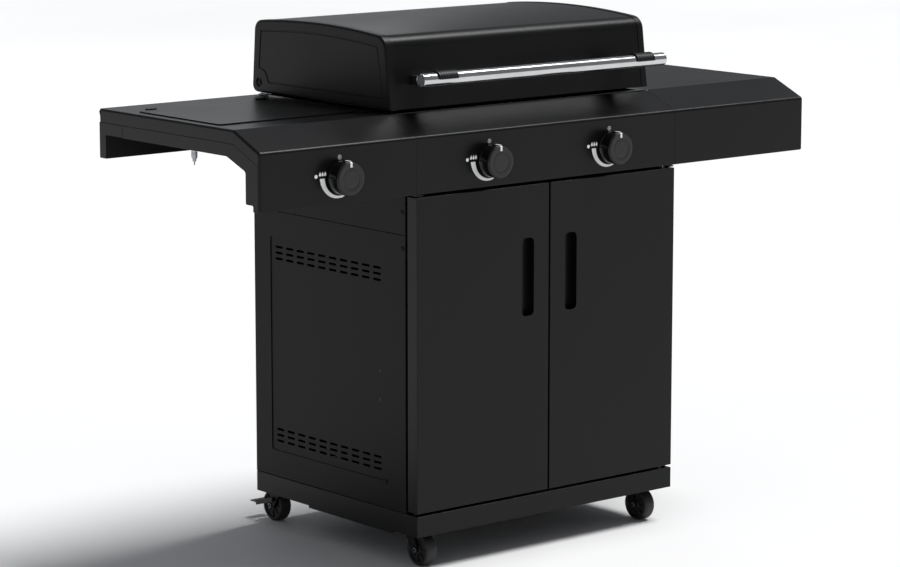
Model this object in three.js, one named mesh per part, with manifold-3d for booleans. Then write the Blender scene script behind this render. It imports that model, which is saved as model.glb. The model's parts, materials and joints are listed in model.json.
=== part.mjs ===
// Free-standing gas barbecue grill: a cabinet on casters, two doors, a sloped control console,
// two side tables (a side burner under a lid in the left one) and a hinged hood.
// Millimetres, +Z up. X runs along the tables, Y from the doors to the back.
// Heights are counted from the underside of the base; the last lines set the object on the ground.
import * as THREE from 'three';
import { mergeVertices } from 'three/addons/utils/BufferGeometryUtils.js';
import Module from 'manifold-3d';

const wasm = await Module();
wasm.setup();

// Overall sizes
const cabinetWidth = 620;
const cabinetDepth = 481;
const deckHeight = 751;
const tableLength = 340;
const sheet = 1.2;
const seam = 0.4;

// Base and casters
const baseHeight = 38;
const skirtWall = 1.5;
const baseLipDepth = 5;
const baseLipWidth = 4.5;
const baseLipFront = 74;
const baseLipBack = 321;
const crossbarHeight = 18;
const crossbarHalf = 26;
const casterInsetX = 43;
const frontCasterY = 65;
const rearCasterInset = 31;
const wheelRadius = 30.5;
const wheelWidth = 24;
const wheelDrop = 33.5;
const casterTrail = 25;
const axleRadius = 3;
const axleClearance = 0.3;
const forkPlate = 2.5;
const forkSideGap = 2;
const crownRadius = 21;
const crownTop = 14;
const pedalPlate = 2;
const pedalPivotY = 20;
const pedalPivotZ = -20;
const pedalTreadY = 62;
const pedalTreadLength = 20;
const pedalTreadZ = -32;

// Doors
const doorDepth = 27;
const doorReveal = 5.5;
const doorSill = 5;
const doorGap = 4;
const doorClearance = 6;
const doorLip = 12;
const slotWidth = 28.5;
const slotHeight = 143;
const slotRadius = 9;
const slotEdge = 35.5;
const slotDrop = 96;
const pocketMargin = 10;
const pocketDepth = 16.5;
const doorPinRadius = 3.5;
const doorPinInset = 7.5;
const doorPinReach = 5;
const doorPinRoot = 15;
const doorPinClearance = 0.5;

// Cabinet sides and back
const waistHeight = 541;
const sideFlange = 20;
const embossDepth = 1.5;
const embossFront = 90;
const embossBackInset = 50;
const embossFoot = 88;
const embossTopInset = 48;
const ventLength = 22;
const ventHeight = 4.5;
const ventPitchY = 32.3;
const ventPitchZ = 11;
const ventRows = 3;
const ventMargin = 13;
const ventEdgeInset = 16.8;
const crossbarDepth = 22;
const crossRailHeight = 19;
const hosePortWidth = 90;
const hosePortHeight = 46;
const hosePortBase = 300;
const backVentCount = 9;
const backVentLength = 40;
const backVentPitch = 56;
const backVentHeight = 6;

// Console and tables
const slopeRise = 33;
const slopeRun = 75;
const consoleFace = 101.5;
const consoleTopRadius = 7;
const creaseRadius = 5;
const consoleStep = 11;
const consoleStepY = 19;
const consoleReturnY = 40;
const consoleRearLip = 14;
const skirtHeight = 24;
const frameHeight = 22;
const frameFlange = 18;
const frameKneeY = 88;
const frameKneeDrop = 21;
const rearTrimLength = 73;
const apronDepth = 20;
const apronHeight = 65;

// Gas train and controls
const knobHeight = 47.5;
const mainKnobX = 144;
const knobRadius = 30;
const knobLength = 23;
const knobWall = 3;
const knobStandOff = 10;
const knobEdge = 2.5;
const hubRadius = 8;
const stemRadius = 3.9;
const stemClearance = 0.35;
const stemFlat = 2.6;
const stemHole = 6;
const stemReach = 22;
const stemRoot = 18;
const pushTravel = 4;
const bezelRadius = 26;
const bezelNose = 21.5;
const bezelLength = 8;
const bezelBore = 11;
const valveWidth = 22;
const valveFront = 16;
const valveBack = 50;
const valveNeck = 8;
const nozzleRadius = 5;
const nozzleTip = 74;
const manifoldRadius = 8;
const manifoldY = 54;
const manifoldDrop = 24;
const manifoldLeftReach = 70;
const manifoldRightReach = 40;
const inletRadius = 12;
const inletLength = 22;

// Firebox and what it holds
const fireboxSide = 18;
const fireboxFrontGap = 9;
const fireboxBackGap = 11;
const fireboxWall = 110;
const fireboxFloorDrop = 50;
const drainHalf = 60;
const drainDepth = 15;
const ledgeDepth = 9;
const burnerRadius = 15;
const venturiRadius = 10;
const venturiLength = 32;
const burnerEndGap = 28;
const tamerHalf = 55;
const tamerRise = 22;
const tamerDrop = 64;
const tamerEndGap = 6;
const grateDrop = 28;
const grateBar = 6;
const grateFrame = 10;
const grateThick = 11;
const grateMidGap = 3;
const grateEdgeGap = 5;
const grateBars = 10;
const trayDrop = 203;
const trayHeight = 13;
const trayHalf = 270;
const trayFront = 92;
const trayBackInset = 7;
const trayHandle = 17;
const trayClearance = 1;
const runnerFoot = 10;
const portMargin = 7;

// Side burner
const bowlHalfX = 143;
const bowlHalfY = 108;
const bowlDepth = 42;
const bowlLap = 6;
const burnerCentreY = 266;
const headRadius = 50;
const headNeckRadius = 14;
const headHeight = 10;
const headGap = 14;
const potBar = 5;
const potBarHeight = 12;
const potInner = 26;
const potRingRadius = 84;
const potTopDrop = 6;
const lidHalfX = 151;
const lidFront = 138;
const lidBack = 384;
const lidHeight = 4.5;
const lidBevelFront = 9;
const lidBevelSide = 3;
const lidPivotGap = 5;
const knuckleRadius = 2.6;
const knuckleLength = 34;
const knuckleInset = 40;
const igniterRadius = 5.5;
const igniterX = -80;
const igniterY = 50;
const igniterFoot = -76;
const igniterTop = -24;
const igniterPin = 1.85;
const igniterPinLength = 7;
const sparkRod = 1.4;

// Hood
const hoodGap = 6;
const hoodRise = 141;
const hoodFrontSetBack = 1;
const hoodBackOverhang = 3;
const hoodFrontLean = 16.2;
const hoodBackLean = 10;
const hoodCrownRadius = 1828;
const hoodCrownBehind = 184;
const hoodFrontRadius = 26;
const hoodBackRadius = 20;
const hoodHeelRadius = 14;
const pivotInset = 23;
const pivotRise = 19;
const endWidth = 16;
const endWall = 3;
const endInsetDepth = 2.5;
const endPanelMargin = 19;
const bossRadius = 26;
const bossHoleRadius = 9;
const shellInset = 0.8;
const shellLip = 14;
const hingeLug = 3;
const hingeLugHalf = 11;
const hingePin = 4;
const handleRadius = 12;
const handleWall = 1.2;
const handleInset = 20.5;
const handleStandOff = 60;
const handleRise = 58;
const bracketX = 236;
const bracketWidth = 42;
const bracketSkin = 3;
const bracketArmTop = 1;
const bracketArmFoot = 15;

// Worked-out places
const halfWidth = cabinetWidth / 2;
const tableEnd = halfWidth + tableLength;
const consoleTop = deckHeight - slopeRise;
const consoleFoot = consoleTop - consoleFace;
const doorTop = consoleFoot - doorReveal;
const doorFoot = baseHeight + doorSill;
const panelFront = doorDepth + doorClearance;
const backOuter = cabinetDepth - sheet - seam;
const knobZ = consoleFoot + knobHeight;
const sideBurnerX = -(halfWidth + tableLength / 2);
const fireboxHalf = halfWidth - fireboxSide;
const fireboxFront = slopeRun + fireboxFrontGap;
const fireboxBack = cabinetDepth - fireboxBackGap;
const fireboxWallFoot = deckHeight - fireboxWall;
const fireboxFloor = fireboxWallFoot - fireboxFloorDrop;
const trayFloor = deckHeight - trayDrop;
const trayBack = cabinetDepth - trayBackInset;
const burnerZ = knobZ;
const hoodFoot = deckHeight + hoodGap;
const hoodTop = hoodFoot + hoodRise;
const hoodFront = slopeRun - hoodFrontSetBack;
const hoodBack = cabinetDepth + hoodBackOverhang;
const hoodPivot = [hoodBack - pivotInset, hoodFoot + pivotRise];
const crownCentre = hoodBack - hoodCrownBehind;
const handleY = hoodFront - handleStandOff;
const handleZ = hoodFoot + handleRise;
const doorPinY = doorDepth / 2;
const rearCasterY = cabinetDepth - rearCasterInset;
const bowlFloor = deckHeight - sheet - seam - bowlDepth;

// Finishes
const finish = (color, roughness, metalness) => ({ color, roughness, metalness });
const blackPaint = finish(0x1d1e20, 0.42, 0.25);
const enamel = finish(0x141416, 0.28, 0.1);
const darkCast = finish(0x191a1b, 0.5, 0.35);
const castIron = finish(0x202021, 0.75, 0.6);
const stainless = finish(0xb9bbbd, 0.22, 1.0);
const zincSteel = finish(0x8d9093, 0.4, 0.9);
const brass = finish(0xb08d4a, 0.35, 0.9);
const blackPlastic = finish(0x161617, 0.5, 0.0);
const glossPlastic = finish(0x0f1011, 0.2, 0.0);
const blackRubber = finish(0x1a1a1b, 0.85, 0.0);
const ceramic = finish(0xd9d9d4, 0.35, 0.0);

// Turns a closed geometry into a solid, dropping collapsed triangles at poles and turning it outward.
function solidOf(geometry) {
  const bare = geometry.clone();
  bare.deleteAttribute('normal');
  bare.deleteAttribute('uv');
  const merged = mergeVertices(bare, 1e-4);
  const positions = merged.attributes.position.array;
  const index = merged.index.array;
  const triangles = [];
  let volume = 0;
  for (let i = 0; i < index.length; i += 3) {
    const [a, b, c] = [index[i], index[i + 1], index[i + 2]];
    if (a === b || b === c || c === a) continue;
    triangles.push([a, b, c]);
    const corners = [a, b, c].map((v) => new THREE.Vector3().fromArray(positions, v * 3));
    volume += corners[0].dot(corners[1].cross(corners[2]));
  }
  if (volume < 0) triangles.forEach((triangle) => triangle.reverse());
  return new wasm.Manifold(new wasm.Mesh({
    numProp: 3,
    vertProperties: Float32Array.from(positions),
    triVerts: Uint32Array.from(triangles.flat()),
  }));
}

function geometryOf(solid) {
  const mesh = solid.getMesh();
  const geometry = new THREE.BufferGeometry();
  geometry.setAttribute('position', new THREE.BufferAttribute(mesh.vertProperties, 3));
  geometry.setIndex(new THREE.BufferAttribute(mesh.triVerts, 1));
  geometry.computeVertexNormals();
  return geometry;
}

// A block between two opposite corners, in any order.
function block(x0, x1, y0, y1, z0, z1) {
  const geometry = new THREE.BoxGeometry(Math.abs(x1 - x0), Math.abs(y1 - y0), Math.abs(z1 - z0));
  geometry.translate((x0 + x1) / 2, (y0 + y1) / 2, (z0 + z1) / 2);
  return solidOf(geometry);
}

// Corners are [a, b] or [a, b, radius]; a radius turns the corner into an arc.
function rounded(corners, closed = true, steps = 3) {
  const count = corners.length;
  const points = [];
  corners.forEach(([a, b, radius], i) => {
    const here = new THREE.Vector2(a, b);
    const isEnd = !closed && (i === 0 || i === count - 1);
    if (!radius || isEnd) {
      points.push(here);
      return;
    }
    const before = corners[(i + count - 1) % count];
    const after = corners[(i + 1) % count];
    const back = new THREE.Vector2(before[0], before[1]).sub(here).normalize();
    const ahead = new THREE.Vector2(after[0], after[1]).sub(here).normalize();
    const half = Math.acos(back.dot(ahead)) / 2;
    const centre = back.clone().add(ahead).normalize().multiplyScalar(radius / Math.sin(half)).add(here);
    const from = back.clone().multiplyScalar(radius / Math.tan(half)).add(here).sub(centre);
    const to = ahead.clone().multiplyScalar(radius / Math.tan(half)).add(here).sub(centre);
    const sweep = Math.atan2(from.cross(to), from.dot(to));
    for (let step = 0; step <= steps; step += 1) {
      const turned = from.clone().rotateAround(new THREE.Vector2(), (sweep * step) / steps);
      points.push(turned.add(centre));
    }
  });
  return points;
}

// The closed outline of a bent sheet: an open line and the same line set off to its right.
function bentSheet(corners, thickness) {
  const line = rounded(corners, false);
  const normals = line.slice(1).map((point, i) => {
    const run = point.clone().sub(line[i]).normalize();
    return new THREE.Vector2(run.y, -run.x);
  });
  const offset = line.map((point, i) => {
    const first = normals[Math.max(i - 1, 0)];
    const second = normals[Math.min(i, normals.length - 1)];
    const mitre = first.clone().add(second);
    return mitre.multiplyScalar((2 * thickness) / mitre.lengthSq()).add(point);
  });
  return [...line, ...offset.reverse()];
}

// A prism along an axis. The outline lies in (y, z), (x, z) or (x, y).
const prismBasis = {
  x: [[0, 1, 0], [0, 0, 1], [1, 0, 0]],
  y: [[1, 0, 0], [0, 0, 1], [0, -1, 0]],
  z: [[1, 0, 0], [0, 1, 0], [0, 0, 1]],
};
function prism(axis, points, from, to) {
  const shape = new THREE.Shape(points.map((p) => (p.isVector2 ? p : new THREE.Vector2(p[0], p[1]))));
  const geometry = new THREE.ExtrudeGeometry(shape, { depth: Math.abs(to - from), bevelEnabled: false });
  const columns = prismBasis[axis].map((column) => new THREE.Vector3(...column));
  geometry.applyMatrix4(new THREE.Matrix4().makeBasis(...columns));
  const start = axis === 'y' ? Math.max(from, to) : Math.min(from, to);
  const shift = { x: [start, 0, 0], y: [0, start, 0], z: [0, 0, start] }[axis];
  geometry.translate(...shift);
  return solidOf(geometry);
}

const tiltToAxis = {
  x: (geometry) => geometry.rotateZ(-Math.PI / 2),
  y: (geometry) => geometry,
  z: (geometry) => geometry.rotateX(Math.PI / 2),
};

// A solid of revolution. The profile is [radius, height] along the axis.
function turned(axis, profile, centre = [0, 0, 0], sides = 24) {
  const geometry = new THREE.LatheGeometry(profile.map(([r, h]) => new THREE.Vector2(r, h)), sides);
  tiltToAxis[axis](geometry).translate(...centre);
  return solidOf(geometry);
}

// A rod between two places along an axis, through the given centre.
function rod(axis, radius, from, to, centre = [0, 0, 0], sides = 16) {
  const geometry = new THREE.CylinderGeometry(radius, radius, Math.abs(to - from), sides);
  geometry.translate(0, (from + to) / 2, 0);
  tiltToAxis[axis](geometry).translate(...centre);
  return solidOf(geometry);
}

const join = (solids) => solids.reduce((sum, solid) => sum.add(solid));
const cut = (solid, tools) => tools.reduce((rest, tool) => rest.subtract(tool), solid);

// A rectangle with round corners as corner points for rounded().
const slotCorners = (a0, a1, b0, b1, r) => [[a0, b0, r], [a1, b0, r], [a1, b1, r], [a0, b1, r]];

function piece(name, solid, look) {
  const material = new THREE.MeshStandardMaterial(look);
  const mesh = new THREE.Mesh(geometryOf(solid), material);
  mesh.name = name;
  return mesh;
}

const sides = [['left', -1], ['right', 1]];
const cabinet = new THREE.Group();

// Base tray: a pressed shelf with a skirt, two caster crossbars and a folded lip along each side.
function baseTray() {
  const inner = halfWidth - skirtWall;
  const tray = block(-halfWidth, halfWidth, 0, cabinetDepth, 0, baseHeight);
  const hollow = block(-inner, inner, skirtWall, cabinetDepth - skirtWall, -1, baseHeight - skirtWall);
  const crossbars = [frontCasterY, rearCasterY].map((y) => {
    const reach = inner - 10;
    const back = Math.min(y + crossbarHalf, cabinetDepth - skirtWall - 1);
    const front = y - crossbarHalf;
    const bar = block(-reach, reach, front, back, crossbarHeight, baseHeight - skirtWall / 2);
    const inside = block(-reach - 1, reach + 1, front + skirtWall, back - skirtWall,
      crossbarHeight + skirtWall, baseHeight - skirtWall);
    return bar.subtract(inside);
  });
  const lips = sides.map(([, s]) => block(s * inner, s * (inner - baseLipWidth),
    baseLipFront, baseLipBack, -baseLipDepth, baseHeight - skirtWall / 2));
  const lipJoints = sides.map(([, s]) => block(s * (halfWidth - skirtWall / 2), s * (inner - skirtWall / 2),
    baseLipFront, baseLipBack, skirtWall, baseHeight - skirtWall));
  const pinHoles = sides.map(([, s]) => rod('z', doorPinRadius + doorPinClearance,
    baseHeight - 2 * skirtWall, baseHeight + 1, [s * (halfWidth - doorPinInset), doorPinY, 0]));
  return cut(join([tray.subtract(hollow), ...crossbars, ...lips, ...lipJoints]), pinHoles);
}
cabinet.add(piece('base_tray', baseTray(), blackPaint));

// A side sheet with a flange turned in at the front and at the back.
function foldedSide(s, foot, top) {
  const outer = s * halfWidth;
  const inner = s * (halfWidth - sheet);
  const flangeEnd = s * (halfWidth - sideFlange);
  return prism('z', [
    [outer, panelFront], [flangeEnd, panelFront], [flangeEnd, panelFront + sheet],
    [inner, panelFront + sheet], [inner, cabinetDepth - sheet], [flangeEnd, cabinetDepth - sheet],
    [flangeEnd, cabinetDepth], [outer, cabinetDepth],
  ], foot, top);
}

// Lower side panels: a sunk field holds two bands of vent slots.
function sidePanel(s) {
  const outer = s * halfWidth;
  const foot = baseHeight + seam;
  const top = waistHeight - seam / 2;
  const embossBack = cabinetDepth - embossBackInset;
  const embossTop = waistHeight - embossTopInset;
  const field = rounded(slotCorners(embossFront, embossBack, embossFoot, embossTop, 6));
  const seat = rounded(slotCorners(embossFront - sheet, embossBack + sheet,
    embossFoot - sheet, embossTop + sheet, 6 + sheet));
  const sunk = s * (halfWidth - embossDepth);
  const bulge = prism('x', seat, s * (halfWidth - sheet / 2), sunk - s * sheet);
  const folded = foldedSide(s, foot, top).add(bulge);
  const columns = Math.floor((embossBack - embossFront - 2 * ventMargin - ventLength) / ventPitchY) + 1;
  const firstY = (embossFront + embossBack) / 2 - ((columns - 1) * ventPitchY) / 2;
  const bandHeight = (ventRows - 1) * ventPitchZ + ventHeight;
  const bands = [embossFoot + ventEdgeInset, embossTop - ventEdgeInset - bandHeight];
  const vents = [];
  for (const band of bands) {
    for (let row = 0; row < ventRows; row += 1) {
      for (let column = 0; column < columns; column += 1) {
        const y = firstY + column * ventPitchY - ventLength / 2;
        const z = band + row * ventPitchZ;
        vents.push(block(outer + s, outer - s * 8, y, y + ventLength, z, z + ventHeight));
      }
    }
  }
  return cut(folded, [prism('x', field, outer + s, sunk), ...vents]);
}

// Upper side panels: they carry the firebox and stop short of the console.
function upperSide(s) {
  const foot = waistHeight + seam / 2;
  const top = deckHeight - sheet - seam;
  const railFoot = doorTop - crossRailHeight / 2 - seam;
  const outside = s * (halfWidth + 1);
  const insideEdge = s * (halfWidth - sideFlange - 1);
  return cut(foldedSide(s, foot, top), [
    block(outside, insideEdge, 0, slopeRun + 3, consoleFoot - 4, top + 1),
    block(s * (halfWidth - sheet), insideEdge, 0, panelFront + 2 * sheet, railFoot - seam, top + 1),
  ]);
}

// Doors: folded pans with a finger pocket behind the slot and hinge pins at the outer edge.
function door(s) {
  const outer = s * halfWidth;
  const meeting = s * (doorGap / 2);
  const pan = block(outer, meeting, 0, doorDepth, doorFoot, doorTop);
  const hollow = block(outer - s * sheet, meeting + s * sheet, sheet, doorDepth - sheet,
    doorFoot + sheet, doorTop - sheet);
  const rearOpening = block(outer - s * doorLip, meeting + s * doorLip, doorDepth - 2 * sheet, doorDepth + 1,
    doorFoot + doorLip, doorTop - doorLip);
  const slotIn = s * (doorGap / 2 + slotEdge);
  const slotOut = slotIn + s * slotWidth;
  const [slotLow, slotHigh] = [Math.min(slotIn, slotOut), Math.max(slotIn, slotOut)];
  const slotTop = doorTop - slotDrop;
  const slotFoot = slotTop - slotHeight;
  const grown = (margin) => rounded(slotCorners(slotLow - margin, slotHigh + margin,
    slotFoot - margin, slotTop + margin, slotRadius + margin / 3));
  const pocket = prism('y', grown(pocketMargin + sheet), sheet / 2, pocketDepth);
  const pocketHollow = prism('y', grown(pocketMargin), sheet, pocketDepth - sheet);
  const slot = prism('y', grown(0), -1, 2 * sheet);
  const pinX = s * (halfWidth - doorPinInset);
  const pins = [
    rod('z', doorPinRadius, doorFoot - doorPinReach, doorFoot + doorPinRoot, [pinX, doorPinY, 0]),
    rod('z', doorPinRadius, doorTop - doorPinRoot, doorTop + doorPinReach, [pinX, doorPinY, 0]),
  ];
  const shell = cut(pan, [hollow, rearOpening]);
  return join([cut(shell.add(pocket), [pocketHollow, slot]), ...pins]);
}

for (const [side, s] of sides) {
  cabinet.add(piece(`side_panel_${side}`, sidePanel(s), blackPaint));
  cabinet.add(piece(`upper_side_${side}`, upperSide(s), blackPaint));
  cabinet.add(piece(`door_${side}`, door(s), blackPaint));
}

// Back panel: one sheet with a hose port, a vent row and the mouth for the grease tray.
function backPanel() {
  const half = halfWidth - sheet - seam;
  const inner = backOuter - sheet;
  const panel = block(-half, half, inner, backOuter, baseHeight + seam, deckHeight - sheet - seam);
  const port = rounded(slotCorners(-hosePortWidth / 2, hosePortWidth / 2,
    hosePortBase, hosePortBase + hosePortHeight, 12));
  const mouth = block(-trayHalf - portMargin, trayHalf + portMargin, inner - 1, cabinetDepth,
    trayFloor - portMargin, trayFloor + trayHeight + portMargin);
  const vents = [];
  for (let i = 0; i < backVentCount; i += 1) {
    const x = (i - (backVentCount - 1) / 2) * backVentPitch;
    const z = fireboxWallFoot + portMargin;
    vents.push(block(x - backVentLength / 2, x + backVentLength / 2, inner - 1, cabinetDepth,
      z, z + backVentHeight));
  }
  return cut(panel, [prism('y', port, inner - 1, cabinetDepth), mouth, ...vents]);
}
cabinet.add(piece('back_panel', backPanel(), blackPaint));

// Front crossbar: a channel over the door opening, with a lug for each upper door pin.
function frontCrossbar() {
  const half = halfWidth - sheet - seam;
  const foot = doorTop - crossRailHeight / 2;
  const top = foot + crossRailHeight;
  const lugTop = doorTop + doorPinReach - 0.4;
  const lugFoot = lugTop - 2 * sheet;
  const channel = block(-half, half, panelFront, panelFront + crossbarDepth, foot, top);
  const inside = block(-half - 1, half + 1, panelFront + sheet, panelFront + crossbarDepth + 1,
    foot + sheet, top - sheet);
  const lugs = sides.map(([, s]) => {
    const pinX = s * (halfWidth - doorPinInset);
    const lug = block(s * half, pinX - s * 8, 1, panelFront + sheet, lugFoot, lugTop);
    const pinHole = rod('z', doorPinRadius + doorPinClearance, lugFoot - 1, lugTop + 1, [pinX, doorPinY, 0]);
    return lug.subtract(pinHole);
  });
  return join([channel.subtract(inside), ...lugs]);
}
cabinet.add(piece('front_crossbar', frontCrossbar(), blackPaint));

// Console: one folded profile, used at full width in the centre and carried on by both tables.
const consoleProfile = [
  [consoleReturnY, consoleFoot + consoleStep],
  [consoleStepY, consoleFoot + consoleStep],
  [consoleStepY, consoleFoot],
  [0, consoleFoot, 1.5],
  [0, consoleTop, consoleTopRadius],
  [slopeRun, deckHeight, creaseRadius],
];

function controlPanel() {
  const half = halfWidth - seam / 2;
  const centreProfile = [...consoleProfile.slice(0, -1), [slopeRun, deckHeight, 2 * sheet],
    [slopeRun, deckHeight - consoleRearLip]];
  const stemHoles = [-mainKnobX, mainKnobX].map((x) => rod('y', stemHole, -1, 3, [x, 0, knobZ]));
  return cut(prism('x', bentSheet(centreProfile, sheet), -half, half), stemHoles);
}
cabinet.add(piece('control_panel', controlPanel(), blackPaint));

// Table shells: console profile and flat top in one sheet, with a skirt band round the outer end.
function tableShell(s) {
  const end = tableEnd - sheet - seam;
  const profile = [...consoleProfile, [cabinetDepth, deckHeight, 2 * sheet],
    [cabinetDepth, deckHeight - skirtHeight]];
  const band = [[0, consoleTop - skirtHeight], [0, consoleTop, consoleTopRadius],
    [slopeRun, deckHeight, creaseRadius], [cabinetDepth, deckHeight, 2 * sheet],
    [cabinetDepth, deckHeight - skirtHeight], [slopeRun, deckHeight - skirtHeight]];
  return join([
    prism('x', bentSheet(profile, sheet), s * (halfWidth + seam), s * end),
    prism('x', rounded(band), s * (end - sheet / 2), s * tableEnd),
  ]);
}

// End frames: the lower half of each table end, stepping up behind the console.
function tableFrame(s) {
  const plateInner = tableEnd - sheet;
  const bandFoot = deckHeight - skirtHeight - seam;
  const frameFoot = bandFoot + seam - frameHeight;
  const frameBack = cabinetDepth - rearTrimLength;
  const stepZ = consoleFoot + consoleStep;
  const shape = rounded([
    [0, consoleFoot], [0, consoleTop - skirtHeight - seam], [slopeRun, bandFoot], [frameBack, bandFoot],
    [frameBack, frameFoot], [frameKneeY, frameFoot], [consoleReturnY, frameFoot - frameKneeDrop, 6],
    [consoleReturnY, stepZ], [consoleStepY, stepZ], [consoleStepY, consoleFoot],
  ]);
  const rim = [[frameBack, frameFoot], [frameKneeY, frameFoot],
    [consoleReturnY, frameFoot - frameKneeDrop, 6], [consoleReturnY, stepZ + sheet + seam]];
  return join([
    prism('x', shape, s * plateInner, s * tableEnd),
    prism('x', bentSheet(rim, sheet), s * (plateInner - frameFlange), s * (plateInner + sheet / 2)),
  ]);
}

// Rear aprons: an open channel under the back of each table, with a short return along the end.
function rearPlate(s) {
  const top = deckHeight - skirtHeight - seam;
  const foot = top + seam - apronHeight;
  const front = cabinetDepth - apronDepth;
  const inner = s * (halfWidth + seam);
  const channel = block(inner, s * tableEnd, front, cabinetDepth, foot, top);
  const hollow = block(inner + s * sheet, s * (tableEnd - sheet), front + sheet, cabinetDepth - sheet,
    foot + sheet, top + 1);
  const trim = block(s * (tableEnd - sheet), s * tableEnd,
    cabinetDepth - rearTrimLength + seam, front + sheet, top + seam - frameHeight, top);
  return join([channel.subtract(hollow), trim]);
}

const bowlX = [sideBurnerX - bowlHalfX, sideBurnerX + bowlHalfX];
const bowlY = [burnerCentreY - bowlHalfY, burnerCentreY + bowlHalfY];
const burnerMouth = block(bowlX[0] + bowlLap, bowlX[1] - bowlLap, bowlY[0] + bowlLap, bowlY[1] - bowlLap,
  deckHeight - 10, deckHeight + 1);
const sideStemHole = rod('y', stemHole, -1, 3, [sideBurnerX, 0, knobZ]);
for (const [side, s] of sides) {
  const openings = s < 0 ? [burnerMouth, sideStemHole] : [];
  cabinet.add(piece(`${side}_table_shell`, cut(tableShell(s), openings), blackPaint));
  cabinet.add(piece(`${side}_table_frame`, tableFrame(s), blackPaint));
  cabinet.add(piece(`${side}_rear_plate`, rearPlate(s), blackPaint));
}

// Firebox: a trough with a sloped floor and a drain, a rim that rests on the cabinet,
// ledges for the grates and flame tamers, and runners for the grease tray.
function firebox() {
  const section = (grow, over) => [
    [-fireboxHalf + grow, deckHeight + over], [-fireboxHalf + grow, fireboxWallFoot + grow],
    [-drainHalf + grow, fireboxFloor + grow], [-drainHalf + grow, fireboxFloor - drainDepth - over],
    [drainHalf - grow, fireboxFloor - drainDepth - over], [drainHalf - grow, fireboxFloor + grow],
    [fireboxHalf - grow, fireboxWallFoot + grow], [fireboxHalf - grow, deckHeight + over],
  ];
  const innerHalf = fireboxHalf - sheet;
  const innerFront = fireboxFront + sheet;
  const innerBack = fireboxBack - sheet;
  const rimHalf = halfWidth - sheet - seam;
  const rim = block(-rimHalf, rimHalf, slopeRun + seam, cabinetDepth - sheet - seam,
    deckHeight - sheet, deckHeight);
  const well = block(-innerHalf, innerHalf, innerFront, innerBack, deckHeight - 2 * sheet, deckHeight + 1);
  const ledge = (z) => [
    block(-innerHalf, innerHalf, innerFront - sheet / 2, innerFront + ledgeDepth, z - sheet, z),
    block(-innerHalf, innerHalf, innerBack - ledgeDepth, innerBack + sheet / 2, z - sheet, z),
  ];
  const floorAt = (x) => fireboxWallFoot
    - ((fireboxHalf - x) * fireboxFloorDrop) / (fireboxHalf - drainHalf);
  const runnerX = trayHalf + trayClearance;
  const runnerZ = trayFloor - trayClearance;
  const runners = sides.flatMap(([, s]) => [
    block(s * runnerX, s * (runnerX + sheet), trayFront, trayBack - 2, runnerZ - sheet,
      floorAt(runnerX) + sheet / 2),
    block(s * (runnerX + sheet), s * (runnerX - runnerFoot), trayFront, trayBack - 2,
      runnerZ - sheet, runnerZ),
  ]);
  const trough = prism('y', section(0, 0), fireboxFront, fireboxBack);
  const inside = prism('y', section(sheet, 5), innerFront, innerBack);
  const burnerHoles = [-mainKnobX, mainKnobX].map((x) => rod('y', venturiRadius + 2,
    fireboxFront - 1, innerFront + 1, [x, 0, burnerZ]));
  const box = join([
    trough.subtract(inside), rim.subtract(well),
    ...ledge(deckHeight - grateDrop), ...ledge(deckHeight - tamerDrop), ...runners,
  ]);
  return cut(box, burnerHoles);
}
cabinet.add(piece('firebox', firebox(), enamel));

// Main burners: hollow tubes, open at the front where the gas nozzle enters.
function burner() {
  const start = nozzleTip - 4;
  const body = start + venturiLength;
  const end = fireboxBack - burnerEndGap;
  const profile = [
    [venturiRadius - sheet, start], [venturiRadius, start], [venturiRadius, body],
    [burnerRadius, body + 6], [burnerRadius, end], [0, end], [0, end - sheet],
    [burnerRadius - sheet, end - sheet], [burnerRadius - sheet, body + 6 + sheet],
    [venturiRadius - sheet, body + sheet], [venturiRadius - sheet, start],
  ];
  return turned('y', profile, [0, 0, 0], 16);
}

// Flame tamers: a folded roof over each burner.
function tamer() {
  const rest = deckHeight - tamerDrop + seam;
  const roof = bentSheet([[-tamerHalf, rest], [0, rest + tamerRise], [tamerHalf, rest]], sheet)
    .map((point) => new THREE.Vector2(point.x, point.y + sheet * 1.1));
  return prism('y', roof, fireboxFront + tamerEndGap, fireboxBack - tamerEndGap);
}

// Cooking grates: a cast frame with bars along the depth and one cross rib.
function grate(s) {
  const rest = deckHeight - grateDrop + seam;
  const top = rest + grateThick;
  const innerX = grateMidGap / 2;
  const outerX = fireboxHalf - sheet - grateEdgeGap;
  const front = fireboxFront + sheet + grateEdgeGap / 2;
  const back = fireboxBack - sheet - grateEdgeGap / 2;
  const frame = block(s * innerX, s * outerX, front, back, rest, top);
  const window = block(s * (innerX + grateFrame), s * (outerX - grateFrame),
    front + grateFrame, back - grateFrame, rest - 1, top + 1);
  const pitch = (outerX - innerX - grateFrame) / (grateBars + 1);
  const bars = [];
  for (let i = 1; i <= grateBars; i += 1) {
    const x = innerX + grateFrame / 2 + i * pitch;
    bars.push(block(s * (x - grateBar / 2), s * (x + grateBar / 2), front + 3, back - 3, rest + 3, top - 1));
  }
  const middle = (front + back) / 2;
  const rib = block(s * (innerX + 2), s * (outerX - 2), middle - grateBar / 2, middle + grateBar / 2,
    rest + 1, top - 2);
  return join([frame.subtract(window), rib, ...bars]);
}

for (const [side, s] of sides) {
  const burnerMesh = piece(`burner_${side}`, burner(), stainless);
  burnerMesh.position.set(s * mainKnobX, 0, burnerZ);
  const tamerMesh = piece(`flame_tamer_${side}`, tamer(), stainless);
  tamerMesh.position.x = s * mainKnobX;
  cabinet.add(burnerMesh, tamerMesh, piece(`grate_${side}`, grate(s), castIron));
}

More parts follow.
